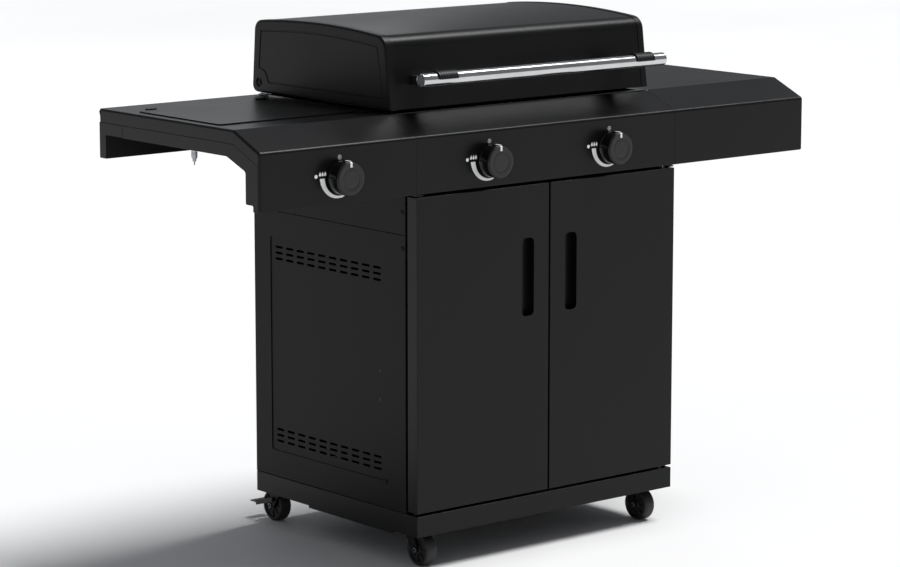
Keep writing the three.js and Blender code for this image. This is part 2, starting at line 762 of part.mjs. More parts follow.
// Grease tray: slides out at the back on the firebox runners.
function greaseTray() {
  const top = trayFloor + trayHeight;
  const pan = block(-trayHalf, trayHalf, trayFront, trayBack, trayFloor, top);
  const hollow = block(-trayHalf + sheet, trayHalf - sheet, trayFront + sheet, trayBack - sheet,
    trayFloor + sheet, top + 1);
  const pull = bentSheet([[trayBack - sheet, top], [trayBack + trayHandle, top],
    [trayBack + trayHandle, trayFloor + 2]], sheet);
  return cut(pan, [hollow]).add(prism('x', pull, -60, 60));
}
cabinet.add(piece('grease_tray', greaseTray(), zincSteel));

// Gas manifold: a pipe behind the consoles with an inlet socket at its right end.
function gasManifold() {
  const left = sideBurnerX - manifoldLeftReach;
  const right = mainKnobX + manifoldRightReach;
  const centre = [0, manifoldY, knobZ - manifoldDrop];
  const pipe = rod('x', manifoldRadius, left, right, centre);
  const socket = rod('x', inletRadius, right - 1, right + inletLength, centre, 6);
  const bore = rod('x', manifoldRadius - 2, right + inletLength / 2, right + inletLength + 1, centre);
  return cut(join([pipe, socket]), [bore]);
}
cabinet.add(piece('gas_manifold', gasManifold(), zincSteel));

// Valve: a block over the manifold with a neck for the stem and a nozzle at the back.
function valve() {
  const half = valveWidth / 2;
  const saddle = manifoldDrop - manifoldRadius - seam;
  const solid = join([
    block(-half, half, valveFront, valveBack, -half, half),
    rod('y', stemHole - seam, valveNeck, valveFront + 1),
    rod('y', nozzleRadius, valveBack - 1, nozzleTip),
    block(-half + 3, half - 3, manifoldY - 9, manifoldY + 6, -saddle, -half + 5),
  ]);
  const bore = rod('y', stemRadius + stemClearance, valveNeck - 1, stemRoot + pushTravel + 2);
  return solid.subtract(bore);
}

// Stem: a round shaft with a flat on the end that carries the knob.
function valveStem() {
  const shaft = rod('y', stemRadius, -stemReach, stemRoot);
  const flat = block(-stemRadius, stemRadius, -stemReach - 1, -knobStandOff, stemFlat, stemRadius + 1);
  return shaft.subtract(flat);
}

// Knob: a cup with a face, a rounded edge and a hub that grips the stem.
function knob() {
  const face = -knobStandOff - knobLength;
  const rear = -knobStandOff;
  const inner = knobRadius - knobWall;
  const floor = face + knobWall + 2;
  const bore = stemRadius + stemClearance;
  const profile = [
    [0, face], [knobRadius - knobEdge, face], [knobRadius, face + knobEdge],
    [knobRadius - 0.5, rear], [inner, rear], [inner, floor], [hubRadius, floor], [hubRadius, rear],
    [bore, rear], [bore, -stemReach - seam], [0, -stemReach - seam],
  ];
  return turned('y', profile, [0, 0, 0], 24);
}

// Bezel: a conical ring on the console face.
function bezel() {
  const profile = [
    [bezelBore, -seam], [bezelRadius, -seam], [bezelRadius, -2 - seam], [bezelNose, -bezelLength - seam],
    [bezelBore, -bezelLength - seam], [bezelBore, -seam],
  ];
  return turned('y', profile, [0, 0, 0], 20);
}

const stations = [['side', sideBurnerX], ['left', -mainKnobX], ['right', mainKnobX]];
for (const [name, x] of stations) {
  const station = new THREE.Group();
  station.position.set(x, 0, knobZ);
  station.add(
    piece(`valve_${name}`, valve(), brass),
    piece(`valve_stem_${name}`, valveStem(), zincSteel),
    piece(`knob_${name}`, knob(), blackPlastic),
    piece(`bezel_${name}`, bezel(), glossPlastic),
  );
  cabinet.add(station);
}

// Side burner: everything but the feed pipe is placed about the burner's centre, on the deck.
const sideBurner = new THREE.Group();
sideBurner.position.set(sideBurnerX, burnerCentreY, deckHeight);
const bowlDrop = bowlFloor - deckHeight;

function sideBowl() {
  const top = -sheet - seam;
  const bowl = block(-bowlHalfX, bowlHalfX, -bowlHalfY, bowlHalfY, bowlDrop, top);
  const hollow = block(-bowlHalfX + sheet, bowlHalfX - sheet, -bowlHalfY + sheet, bowlHalfY - sheet,
    bowlDrop + sheet, top + 1);
  const neckHole = rod('z', headNeckRadius + 1, bowlDrop - 1, bowlDrop + 2);
  const igniterHole = rod('z', igniterRadius + seam, bowlDrop - 1, bowlDrop + 2, [igniterX, igniterY, 0]);
  return cut(bowl, [hollow, neckHole, igniterHole]);
}

function sideHead() {
  const pipeZ = knobZ - deckHeight;
  const capFoot = bowlDrop + headGap;
  const capTop = capFoot + headHeight;
  const profile = [
    [0, pipeZ - venturiRadius], [headNeckRadius, pipeZ - venturiRadius], [headNeckRadius, capFoot],
    [headRadius, capFoot], [headRadius, capTop - 6], [headRadius - 8, capTop], [0, capTop],
  ];
  const mouth = nozzleTip - 4 - burnerCentreY;
  const pipe = rod('y', venturiRadius, mouth, 0, [0, 0, pipeZ]);
  const throat = rod('y', venturiRadius - sheet, mouth - 1, -headNeckRadius, [0, 0, pipeZ]);
  return cut(join([turned('z', profile), pipe]), [throat]);
}

function potSupport() {
  const top = -potTopDrop;
  const foot = top - potBarHeight;
  const bars = [];
  for (let i = 0; i < 4; i += 1) {
    const along = i % 2 === 0;
    const reach = (along ? bowlHalfX : bowlHalfY) - sheet - 1;
    const sign = i < 2 ? 1 : -1;
    bars.push(along
      ? block(sign * potInner, sign * reach, -potBar / 2, potBar / 2, foot, top)
      : block(-potBar / 2, potBar / 2, sign * potInner, sign * reach, foot, top));
  }
  const ring = turned('z', [
    [potRingRadius - potBar, foot + 2], [potRingRadius, foot + 2], [potRingRadius, foot + 2 + potBar],
    [potRingRadius - potBar, foot + 2 + potBar], [potRingRadius - potBar, foot + 2],
  ], [0, 0, 0], 20);
  return join([...bars, ring]);
}

function igniter() {
  const centre = [igniterX, igniterY, 0];
  const rodZ = igniterTop + 5;
  const reach = Math.hypot(igniterX, igniterY) - headRadius - 5;
  const spark = new THREE.CylinderGeometry(sparkRod, sparkRod, reach, 8);
  spark.translate(0, reach / 2 - sparkRod, 0);
  spark.rotateZ(Math.atan2(igniterX, -igniterY));
  spark.translate(igniterX, igniterY, rodZ);
  return join([
    rod('z', igniterRadius, igniterFoot, igniterTop, centre, 12),
    rod('z', igniterPin, igniterFoot - igniterPinLength, igniterFoot + 1, centre, 8),
    rod('z', sparkRod, igniterTop - 1, rodZ + sparkRod, centre, 8),
    solidOf(spark),
  ]);
}

// Lid: a shallow pan with bevelled edges and two hinge knuckles at the back.
function sideLid() {
  const front = lidFront - burnerCentreY;
  const back = lidBack - burnerCentreY;
  const top = seam + lidHeight;
  const side = prism('x', [[front, seam], [front + lidBevelFront, top], [back - lidBevelSide, top],
    [back, top - lidBevelSide], [back, seam]], -lidHalfX, lidHalfX);
  const ends = prism('y', [[-lidHalfX, seam], [-lidHalfX + lidBevelSide, top],
    [lidHalfX - lidBevelSide, top], [lidHalfX, seam]], front, back);
  const hollow = block(-lidHalfX + lidBevelSide + sheet, lidHalfX - lidBevelSide - sheet,
    front + lidBevelFront, back - lidBevelSide - sheet, seam - 1, top - sheet);
  const pivotY = back + lidPivotGap;
  const pivotZ = seam + knuckleRadius;
  const knuckles = [-1, 1].flatMap((s) => {
    const near = s * (lidHalfX - knuckleInset);
    const far = near - s * knuckleLength;
    return [
      rod('x', knuckleRadius, Math.min(near, far), Math.max(near, far), [0, pivotY, pivotZ], 12),
      block(near, far, back - sheet, pivotY, seam, seam + sheet),
    ];
  });
  return join([side.intersect(ends).subtract(hollow), ...knuckles]);
}

sideBurner.add(
  piece('side_burner_bowl', sideBowl(), enamel),
  piece('side_burner_head', sideHead(), zincSteel),
  piece('side_burner_grate', potSupport(), castIron),
  piece('side_burner_igniter', igniter(), ceramic),
  piece('side_burner_lid', sideLid(), blackPaint),
);

// Hood: an arched sheet between two cast ends, on two hinge lugs.
const crownAt = (y) => hoodTop - ((y - crownCentre) ** 2) / (2 * hoodCrownRadius);
function hoodOutline(inset, crownSteps = 8) {
  const front = hoodFront + inset;
  const back = hoodBack - inset;
  const topFront = hoodFront + hoodFrontLean + inset;
  const topBack = hoodBack - hoodBackLean - inset;
  const crown = [];
  for (let i = 1; i < crownSteps; i += 1) {
    const y = topFront + ((topBack - topFront) * i) / crownSteps;
    crown.push([y, crownAt(y) - inset]);
  }
  return {
    front: [front, hoodFoot],
    frontCorner: [topFront, crownAt(topFront) - inset, hoodFrontRadius - inset],
    crown,
    backCorner: [topBack, crownAt(topBack) - inset, Math.max(hoodBackRadius - inset, 2)],
    heel: [back, hoodFoot + inset, Math.max(hoodHeelRadius - inset, 2)],
    foot: [hoodPivot[0] - 6, hoodFoot + inset],
  };
}

function hoodShell() {
  const half = halfWidth - endWidth - seam;
  const line = hoodOutline(shellInset);
  const profile = [[line.front[0] + shellLip, hoodFoot], line.front, line.frontCorner, ...line.crown,
    line.backCorner, line.heel, line.foot];
  return prism('x', bentSheet(profile, sheet), -half, half);
}

function hoodEnd(s) {
  const outline = (inset) => {
    const line = hoodOutline(inset, 6);
    return rounded([[line.front[0], hoodFoot + inset], line.frontCorner, ...line.crown, line.backCorner,
      line.heel]);
  };
  const outer = s * halfWidth;
  const inner = s * (halfWidth - endWidth);
  const web = s * (halfWidth - endWall - endInsetDepth);
  const casting = prism('x', outline(0), outer, inner);
  const cavity = prism('x', outline(endWall), web, inner - s);
  const bossEnds = [outer + s * 2, outer - s * 20];
  const boss = rod('x', bossRadius, Math.min(...bossEnds), Math.max(...bossEnds), [0, ...hoodPivot], 24);
  const face = prism('x', outline(endPanelMargin), outer + s, s * (halfWidth - endInsetDepth)).subtract(boss);
  const bossHoleEnds = [outer + s, outer - s * 2];
  const bossHole = rod('x', bossHoleRadius, Math.min(...bossHoleEnds), Math.max(...bossHoleEnds),
    [0, ...hoodPivot], 20);
  const pinHoleEnds = [outer - s * 3.5, web - s];
  const pinHole = rod('x', hingePin + seam, Math.min(...pinHoleEnds), Math.max(...pinHoleEnds),
    [0, ...hoodPivot]);
  const lugWay = block(web - s * seam, inner - s, hoodPivot[0] - hingeLugHalf - 5, hoodBack + 1,
    hoodFoot - 1, hoodPivot[1] + hingeLugHalf + 5);
  return cut(casting, [cavity, face, bossHole, pinHole, lugWay]);
}

// Hinge lugs stand on the firebox rim inside the hood ends; each pin reaches into its end.
function hoodHinge(s) {
  const lugX = halfWidth - endWidth + 2;
  const plate = rounded([[hoodPivot[0] - hingeLugHalf, deckHeight + seam],
    [hoodPivot[0] + hingeLugHalf, deckHeight + seam],
    [hoodPivot[0] + hingeLugHalf, hoodPivot[1] + hingeLugHalf, hingeLugHalf - 0.5],
    [hoodPivot[0] - hingeLugHalf, hoodPivot[1] + hingeLugHalf, hingeLugHalf - 0.5]]);
  const pinEnds = [s * (lugX + 1), s * (halfWidth - 4)];
  return join([
    prism('x', plate, s * lugX, s * (lugX + hingeLug)),
    block(s * lugX, s * (lugX + 8), hoodPivot[0] - hingeLugHalf, hoodPivot[0] + hingeLugHalf,
      deckHeight + seam, deckHeight + seam + 2),
    rod('x', hingePin, Math.min(...pinEnds), Math.max(...pinEnds), [0, ...hoodPivot]),
  ]);
}

const hood = new THREE.Group();
hood.add(piece('hood_shell', hoodShell(), blackPaint));
for (const [side, s] of sides) {
  hood.add(piece(`hood_end_${side}`, hoodEnd(s), darkCast));
  cabinet.add(piece(`hood_hinge_${side}`, hoodHinge(s), zincSteel));
}

// Handle: a steel tube carried by two brackets that saddle its top and back.
const handleHalf = halfWidth - handleInset;
function handleTube() {
  const centre = [0, handleY, handleZ];
  const tube = rod('x', handleRadius, -handleHalf, handleHalf, centre, 24);
  return tube.subtract(rod('x', handleRadius - handleWall, -handleHalf - 1, handleHalf + 1, centre, 24));
}

function handleBracket(s) {
  const skin = handleRadius + bracketSkin;
  const faceAt = (z) => hoodFront + shellInset + (hoodFrontLean * (z - hoodFoot))
    / (crownAt(hoodFront + hoodFrontLean) - hoodFoot) - seam;
  const armTop = handleZ + bracketArmTop;
  const armFoot = handleZ - bracketArmFoot;
  const shape = rounded([
    [handleY - skin, handleZ], [handleY - skin, handleZ + skin, skin * 0.8],
    [handleY + skin, handleZ + skin, skin * 0.8], [handleY + skin, armTop, 3],
    [faceAt(armTop), armTop], [faceAt(armFoot), armFoot], [handleY + skin, armFoot, 4],
    [handleY + handleRadius - 1, handleZ - 3], [handleY, handleZ],
  ]);
  const x0 = s * bracketX - bracketWidth / 2;
  const x1 = s * bracketX + bracketWidth / 2;
  const bore = rod('x', handleRadius + seam, x0 - 1, x1 + 1, [0, handleY, handleZ], 24);
  return prism('x', shape, x0, x1).subtract(bore);
}
hood.add(piece('handle_tube', handleTube(), stainless));
for (const [side, s] of sides) {
  hood.add(piece(`handle_bracket_${side}`, handleBracket(s), blackPlastic));
}

// Casters: built with the wheel trailing towards +Y and turned half round for the front pair.
function casterFork() {
  const legInner = wheelWidth / 2 + forkSideGap;
  const crownFoot = 2;
  const axleHalf = legInner + forkPlate + 3;
  const leg = rounded([[-14, crownTop - 6], [14, crownTop - 6], [casterTrail + 7, -wheelDrop, 6],
    [casterTrail - 6, -wheelDrop - 7, 6]]);
  const legs = [-1, 1].map((s) => prism('x', leg, s * legInner, s * (legInner + forkPlate)));
  return join([
    rod('z', crownRadius, crownFoot, crownTop, [0, 0, 0], 16),
    rod('z', 8, crownTop - 1, crossbarHeight - seam, [0, 0, 0], 12),
    ...legs,
    rod('x', axleRadius, -axleHalf, axleHalf, [0, casterTrail, -wheelDrop], 12),
  ]);
}

function casterWheel() {
  const half = wheelWidth / 2;
  const bore = axleRadius + axleClearance;
  const hub = 9;
  const rim = 22;
  const dish = 4;
  const tread = 3;
  const profile = [
    [bore, -half], [hub, -half], [rim, -half + dish], [rim, -half], [wheelRadius - tread, -half],
    [wheelRadius, -half + tread], [wheelRadius, half - tread], [wheelRadius - tread, half], [rim, half],
    [rim, half - dish], [hub, half], [bore, half], [bore, -half],
  ];
  return turned('x', profile, [0, 0, 0], 24);
}

// Brake pedal: two arms outside the fork legs and a tread behind the wheel.
function brakePedal() {
  const armInner = wheelWidth / 2 + forkSideGap + forkPlate + 3 + seam;
  const arm = bentSheet([[pedalPivotY - 6, pedalPivotZ + 5], [pedalTreadY - 6, pedalTreadZ + 5],
    [pedalTreadY + 4, pedalTreadZ + 2]], 9);
  const armOuter = armInner + pedalPlate;
  const arms = [-1, 1].map((s) => prism('x', arm, s * armInner, s * armOuter));
  const tread = block(-armOuter, armOuter, pedalTreadY, pedalTreadY + pedalTreadLength,
    pedalTreadZ - pedalPlate, pedalTreadZ);
  return join([...arms, tread]);
}

const casters = [
  ['front_left', -1, frontCasterY, true], ['front_right', 1, frontCasterY, true],
  ['rear_left', -1, rearCasterY, false], ['rear_right', 1, rearCasterY, false],
];
for (const [name, s, y, turnedRound] of casters) {
  const caster = new THREE.Group();
  caster.position.set(s * (halfWidth - casterInsetX), y, 0);
  caster.rotation.z = turnedRound ? Math.PI : 0;
  const wheel = piece(`caster_wheel_${name}`, casterWheel(), blackRubber);
  wheel.position.set(0, casterTrail, -wheelDrop);
  caster.add(piece(`caster_fork_${name}`, casterFork(), zincSteel), wheel);
  if (!turnedRound) caster.add(piece(`brake_pedal_${name}`, brakePedal(), blackPlastic));
  cabinet.add(caster);
}

// The finished grill stands on the ground with the centre of its footprint at the origin.
const grill = new THREE.Group();
grill.name = 'gas_grill';
const assembly = new THREE.Group();
assembly.add(cabinet, sideBurner, hood);
const extent = new THREE.Box3().setFromObject(assembly, true);
const centre = extent.getCenter(new THREE.Vector3());
assembly.position.set(-centre.x, -centre.y, -extent.min.z);
grill.add(assembly);

export default grill;
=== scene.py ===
import json
import math

import bmesh
import bpy
from mathutils import Matrix, Vector


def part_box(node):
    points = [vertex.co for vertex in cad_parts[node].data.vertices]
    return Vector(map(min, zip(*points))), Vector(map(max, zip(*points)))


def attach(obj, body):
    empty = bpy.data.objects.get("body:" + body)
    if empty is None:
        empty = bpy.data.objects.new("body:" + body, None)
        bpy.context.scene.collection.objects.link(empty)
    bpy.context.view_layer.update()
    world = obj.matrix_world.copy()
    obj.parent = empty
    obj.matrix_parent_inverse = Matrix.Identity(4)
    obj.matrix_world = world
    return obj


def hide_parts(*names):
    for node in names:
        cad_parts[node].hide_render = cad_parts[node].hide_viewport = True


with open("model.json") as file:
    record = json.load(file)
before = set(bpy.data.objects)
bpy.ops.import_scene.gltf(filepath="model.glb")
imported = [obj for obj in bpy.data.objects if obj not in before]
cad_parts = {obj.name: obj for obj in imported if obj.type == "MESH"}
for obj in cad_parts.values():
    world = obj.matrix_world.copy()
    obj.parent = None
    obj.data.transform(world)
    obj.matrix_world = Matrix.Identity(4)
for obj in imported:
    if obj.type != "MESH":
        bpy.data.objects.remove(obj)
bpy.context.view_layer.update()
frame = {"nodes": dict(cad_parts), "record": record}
print("frame loaded")

mm = 0.001
nodeBody = {node: body for body, nodes in frame["record"]["behaviour"]["bodies"].items() for node in nodes}


def low(node):
    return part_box(node)[0]


def high(node):
    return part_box(node)[1]


def middle(node):
    return (low(node) + high(node)) / 2


# Places that many pieces share, all taken from the frame
halfCabinet = high("side_panel_right").x
tableEnd = high("right_table_shell").x
frontY = low("left_table_shell").y
deckZ = high("left_table_shell").z
baseZ = deckZ - 751 * mm  # underside of the base tray


def addNode(tree, kind, **settings):
    node = tree.nodes.new(kind)
    for key, value in settings.items():
        if key in node.inputs:
            node.inputs[key].default_value = value
        else:
            setattr(node, key, value)
    return node


def noiseValue(tree, place, scale, detail=2.0):
    noise = addNode(tree, "ShaderNodeTexNoise", Scale=scale, Detail=detail, Distortion=0.0)
    tree.links.new(place, noise.inputs["Vector"])
    return noise.outputs["Fac"]


def mapped(tree, value, fromLow, fromHigh, toLow, toHigh):
    node = addNode(tree, "ShaderNodeMapRange")
    for index, number in enumerate((fromLow, fromHigh, toLow, toHigh), start=1):
        node.inputs[index].default_value = number
    tree.links.new(value, node.inputs[0])
    return node.outputs[0]


def mixedColour(tree, factor, first, second):
    node = addNode(tree, "ShaderNodeMix", data_type="RGBA")
    tree.links.new(factor, node.inputs["Factor"])
    for socket, colour in ((node.inputs[6], first), (node.inputs[7], second)):
        if isinstance(colour, tuple):
            socket.default_value = (*colour, 1)
        else:
            tree.links.new(colour, socket)
    return node.outputs[2]


# Every finish has drifting colour, uneven gloss, a fine grain in relief and edges worn where the piece
# carries an "edge" attribute
def finish(name, look):
    material = bpy.data.materials.new(name)
    material.use_nodes = True
    tree = material.node_tree
    shader = tree.nodes["Principled BSDF"]
    place = addNode(tree, "ShaderNodeTexCoord").outputs["Object"]
    grainPlace = place
    if "stretch" in look:
        mapping = addNode(tree, "ShaderNodeMapping", Scale=look["stretch"])
        tree.links.new(place, mapping.inputs["Vector"])
        grainPlace = mapping.outputs["Vector"]
    clouds = noiseValue(tree, place, look["cloudScale"], 4)
    grain = noiseValue(tree, grainPlace, look["grainScale"], 2)
    tone = mixedColour(tree, mapped(tree, clouds, 0.3, 0.7, 0, 1), look["dark"], look["light"])
    edge = addNode(tree, "ShaderNodeAttribute", attribute_name="edge").outputs["Fac"]
    scuffs = mapped(tree, noiseValue(tree, place, look["wearScale"], 3), 0.45, 0.62, 0, look["wear"])
    worn = addNode(tree, "ShaderNodeMath", operation="MULTIPLY")
    tree.links.new(edge, worn.inputs[0])
    tree.links.new(scuffs, worn.inputs[1])
    colour = mixedColour(tree, worn.outputs[0], tone, look["bare"])
    tree.links.new(colour, shader.inputs["Base Color"])
    blend = addNode(tree, "ShaderNodeMath", operation="ADD")
    tree.links.new(clouds, blend.inputs[0])
    tree.links.new(grain, blend.inputs[1])
    smooth, rough = look["roughness"]
    tree.links.new(mapped(tree, blend.outputs[0], 0.7, 1.3, smooth, rough), shader.inputs["Roughness"])
    relief = addNode(tree, "ShaderNodeBump", Strength=look["relief"], Distance=look["reliefDepth"])
    tree.links.new(grain, relief.inputs["Height"])
    tree.links.new(relief.outputs["Normal"], shader.inputs["Normal"])
    shader.inputs["Metallic"].default_value = look.get("metallic", 0)
    shader.inputs["Specular IOR Level"].default_value = look.get("specular", 0.5)
    return material


powderCoatLook = {
    "dark": (0.0044, 0.0045, 0.0049), "light": (0.0062, 0.0063, 0.0067), "bare": (0.03, 0.03, 0.031),
    "roughness": (0.27, 0.36), "specular": 0.18, "cloudScale": 5, "grainScale": 900, "wearScale": 60,
    "wear": 0.35, "relief": 0.12, "reliefDepth": 0.0003,
}
enamelLook = dict(powderCoatLook, roughness=(0.12, 0.2), specular=0.5, grainScale=350, relief=0.05)
castAluminiumLook = dict(powderCoatLook, roughness=(0.33, 0.43), grainScale=1300, relief=0.2, wear=0.4)
castIronLook = {
    "dark": (0.012, 0.012, 0.012), "light": (0.026, 0.025, 0.024), "bare": (0.06, 0.055, 0.05),
    "roughness": (0.55, 0.75), "specular": 0.4, "cloudScale": 25, "grainScale": 700, "wearScale": 80,
    "wear": 0.4, "relief": 0.5, "reliefDepth": 0.0006,
}
stainlessLook = {
    "dark": (0.55, 0.555, 0.56), "light": (0.66, 0.665, 0.67), "bare": (0.75, 0.75, 0.75),
    "roughness": (0.1, 0.2), "metallic": 1.0, "cloudScale": 12, "grainScale": 900, "stretch": (0.02, 1, 1),
    "wearScale": 60, "wear": 0.5, "relief": 0.04, "reliefDepth": 0.0002,
}
zincSteelLook = {
    "dark": (0.34, 0.35, 0.36), "light": (0.46, 0.47, 0.48), "bare": (0.6, 0.6, 0.6),
    "roughness": (0.3, 0.45), "metallic": 1.0, "cloudScale": 45, "grainScale": 500,
    "wearScale": 90, "wear": 0.6, "relief": 0.1, "reliefDepth": 0.0003,
}
darkSteelLook = dict(powderCoatLook, roughness=(0.35, 0.5), grainScale=1100, wear=0.6)
brassLook = dict(zincSteelLook, dark=(0.5, 0.34, 0.13), light=(0.62, 0.44, 0.18), bare=(0.75, 0.58, 0.3))
satinPlasticLook = {
    "dark": (0.007, 0.007, 0.0075), "light": (0.011, 0.011, 0.0115), "bare": (0.03, 0.03, 0.03),
    "roughness": (0.38, 0.5), "specular": 0.4, "cloudScale": 20, "grainScale": 1600, "wearScale": 120,
    "wear": 0.3, "relief": 0.15, "reliefDepth": 0.0002,
}
glossPlasticLook = dict(satinPlasticLook, dark=(0.003, 0.003, 0.003), light=(0.005, 0.005, 0.005),
                        roughness=(0.06, 0.12), specular=0.6, relief=0.03, wear=0.1)
rubberLook = {
    "dark": (0.008, 0.008, 0.008), "light": (0.014, 0.014, 0.014), "bare": (0.035, 0.034, 0.032),
    "roughness": (0.45, 0.65), "specular": 0.45, "cloudScale": 40, "grainScale": 1200, "wearScale": 150,
    "wear": 0.6, "relief": 0.3, "reliefDepth": 0.0004,
}
ceramicLook = dict(zincSteelLook, dark=(0.62, 0.61, 0.58), light=(0.74, 0.73, 0.7), bare=(0.8, 0.8, 0.78),
                   metallic=0.0, roughness=(0.2, 0.35))
knobCapLook = dict(satinPlasticLook, dark=(0.012, 0.012, 0.0125), light=(0.018, 0.018, 0.0185))
# The barrel is darker than the cap although both are the knob's black plastic: painted shade for the side of
# the knob; its higher gloss is the plastic's own
knobBarrelShadeLook = dict(satinPlasticLook, dark=(0.003, 0.003, 0.003), light=(0.0045, 0.0045, 0.0045),
                      roughness=(0.14, 0.22), specular=0.35, wear=0.15)
plugPlasticLook = dict(satinPlasticLook, dark=(0.1, 0.1, 0.104), light=(0.14, 0.14, 0.146))
# The same powder coat with a weaker sheen for the side panels, so they render darker: painted shade on the
# sides
sideShadeLook = dict(powderCoatLook, specular=0.1)
printLook = dict(ceramicLook, dark=(0.78, 0.78, 0.78), light=(0.9, 0.9, 0.9), bare=(0.9, 0.9, 0.9),
                 roughness=(0.35, 0.5), relief=0.02)

finishes = {
    "powder_coat": finish("powderCoat", powderCoatLook),
    "enamel": finish("enamel", enamelLook),
    "cast_aluminium": finish("castAluminium", castAluminiumLook),
    "cast_iron": finish("castIron", castIronLook),
    "stainless": finish("stainlessSteel", stainlessLook),
    "zinc_steel": finish("zincSteel", zincSteelLook),
    "dark_steel": finish("darkSteel", darkSteelLook),
    "brass": finish("brass", brassLook),
    "black_plastic": finish("satinPlastic", satinPlasticLook),
    "gloss_plastic": finish("glossPlastic", glossPlasticLook),
    "caster_rubber": finish("casterRubber", rubberLook),
    "ceramic": finish("ceramic", ceramicLook),
}
whitePrint = finish("whitePrint", printLook)
knobCap = finish("knobCap", knobCapLook)
plugPlastic = finish("plugPlastic", plugPlasticLook)
sideShadePaint = finish("sideShadePaint", sideShadeLook)
knobBarrelShade = finish("knobBarrelShade", knobBarrelShadeLook)
print("finishes made")


# Breaks the sharp edges of a mesh and marks the new faces, for the worn look
def breakEdges(bm, width, angle=28, edges=None, segments=2):
    mark = bm.faces.layers.float.get("edge") or bm.faces.layers.float.new("edge")
    if edges is None:
        edges = [e for e in bm.edges if len(e.link_faces) == 2 and e.calc_face_angle(0) > math.radians(angle)]
    if width and edges:
        made = bmesh.ops.bevel(bm, geom=edges, offset=width, offset_type="OFFSET", affect="EDGES",
                               segments=segments, profile=0.5, material=-1, clamp_overlap=True)
        mark = bm.faces.layers.float.get("edge")
        for face in made["faces"]:
            face[mark] = 1


def addPiece(name, bm, body, slot, width=0.4 * mm, angle=28, replaces=(), material=None, smoothAngle=40):
    bmesh.ops.remove_doubles(bm, verts=bm.verts, dist=1e-6)
    breakEdges(bm, width, angle)
    mesh = bpy.data.meshes.new(name)
    bm.to_mesh(mesh)
    bm.free()
    mesh.shade_smooth()
    mesh.set_sharp_from_angle(angle=math.radians(smoothAngle))
    piece = bpy.data.objects.new(name, mesh)
    bpy.context.scene.collection.objects.link(piece)
    mesh.materials.append(material or finishes[slot])
    normals = piece.modifiers.new("normals", "WEIGHTED_NORMAL")
    normals.keep_sharp = True
    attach(piece, body)
    if replaces:
        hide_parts(*replaces)
    return piece


def plainName(node):
    first, *rest = node.split("_")
    return first + "".join(word.capitalize() for word in rest)


# A frame part's mesh, merged and with its flat faces joined up
def nodeMesh(node):
    bm = bmesh.new()
    bm.from_mesh(frame["nodes"][node].data)
    bmesh.ops.remove_doubles(bm, verts=bm.verts, dist=1e-6)
    bmesh.ops.dissolve_limit(bm, angle_limit=math.radians(0.3), verts=bm.verts, edges=bm.edges)
    return bm


# A frame part with its edges softened
def softened(node, slot, width=0.4 * mm):
    name = plainName(node) + "Finished"
    return addPiece(name, nodeMesh(node), nodeBody[node], slot, width, replaces=(node,))


# Points of a bent line in (y, z) or (x, y), given in millimetres; a third number rounds the corner
def bentLine(points, closed=False, steps=8):
    line = []
    count = len(points)
    for index, point in enumerate(points):
        here = Vector(point[:2])
        radius = point[2] if len(point) > 2 else 0
        atEnd = not closed and index in (0, count - 1)
        if radius <= 0 or atEnd:
            line.append(here)
            continue
        before = (Vector(points[index - 1][:2]) - here).normalized()
        after = (Vector(points[(index + 1) % count][:2]) - here).normalized()
        half = before.angle(after) / 2
        reach = radius / math.tan(half)
        centre = here + (before + after).normalized() * (radius / math.sin(half))
        begin, end = here + before * reach - centre, here + after * reach - centre
        turn = begin.angle_signed(end)
        for step in range(steps + 1):
            line.append(centre + Matrix.Rotation(-turn * step / steps, 2) @ begin)
    return line


# Inward offset of a line whose inside lies on its right (or of a closed loop run clockwise)
def inset(line, depth, closed=False):
    moved = []
    count = len(line)
    for index, here in enumerate(line):
        before = line[index - 1] if index or closed else None
        after = line[(index + 1) % count] if index < count - 1 or closed else None
        legs = []
        if before is not None and (here - before).length > 1e-9:
            legs.append((here - before).normalized())
        if after is not None and (after - here).length > 1e-9:
            legs.append((after - here).normalized())
        sides = [Vector((leg.y, -leg.x)) for leg in legs]
        normal = sum(sides, Vector((0, 0))).normalized()
        moved.append(here + normal * depth / max(normal.dot(sides[0]), 0.3))
    return moved


def circleLine(centre, radius, steps):
    turns = [math.radians(-360 * i / steps) for i in range(steps)]
    return [Vector((centre[0] + radius * math.cos(a), centre[1] + radius * math.sin(a))) for a in turns]


# Places a flat point on the plane that stands at a distance along an axis; points in millimetres, with y
# from the door face and z from the underside of the base
def placed(point, at, axis):
    spots = {"x": (at, point[0], point[1]), "y": (point[0], at, point[1]), "z": (point[0], point[1], at)}
    x, y, z = spots[axis]
    return Vector((x * mm, frontY + y * mm, baseZ + z * mm))


def ring(bm, line, at, axis):
    return [bm.verts.new(placed(point, at, axis)) for point in line]


def joinRings(bm, first, second, closed=True):
    count = len(first)
    for i in range(count if closed else count - 1):
        j = (i + 1) % count
        corners = []
        for vert in (first[i], first[j], second[j], second[i]):
            if vert not in corners:
                corners.append(vert)
        if len(corners) > 2:
            bm.faces.new(corners)


def joinAll(bm, rings):
    for first, second in zip(rings, rings[1:]):
        joinRings(bm, first, second)


def fillRings(bm, rings):
    edges = []
    for verts in rings:
        for i, vert in enumerate(verts):
            pair = (vert, verts[(i + 1) % len(verts)])
            edges.append(bm.edges.get(pair) or bm.edges.new(pair))
    bmesh.ops.triangle_fill(bm, use_beauty=True, use_dissolve=False, edges=edges)


# A flat plate between two depths along an axis, with any holes
def plate(bm, loops, near, far, axis):
    nearRings = [ring(bm, loop, near, axis) for loop in loops]
    farRings = [ring(bm, loop, far, axis) for loop in loops]
    fillRings(bm, nearRings)
    fillRings(bm, farRings)
    for first, second in zip(nearRings, farRings):
        joinRings(bm, first, second)
    settle(bm)


def settle(bm):
    bmesh.ops.remove_doubles(bm, verts=bm.verts, dist=1e-6)
    bmesh.ops.recalc_face_normals(bm, faces=bm.faces)


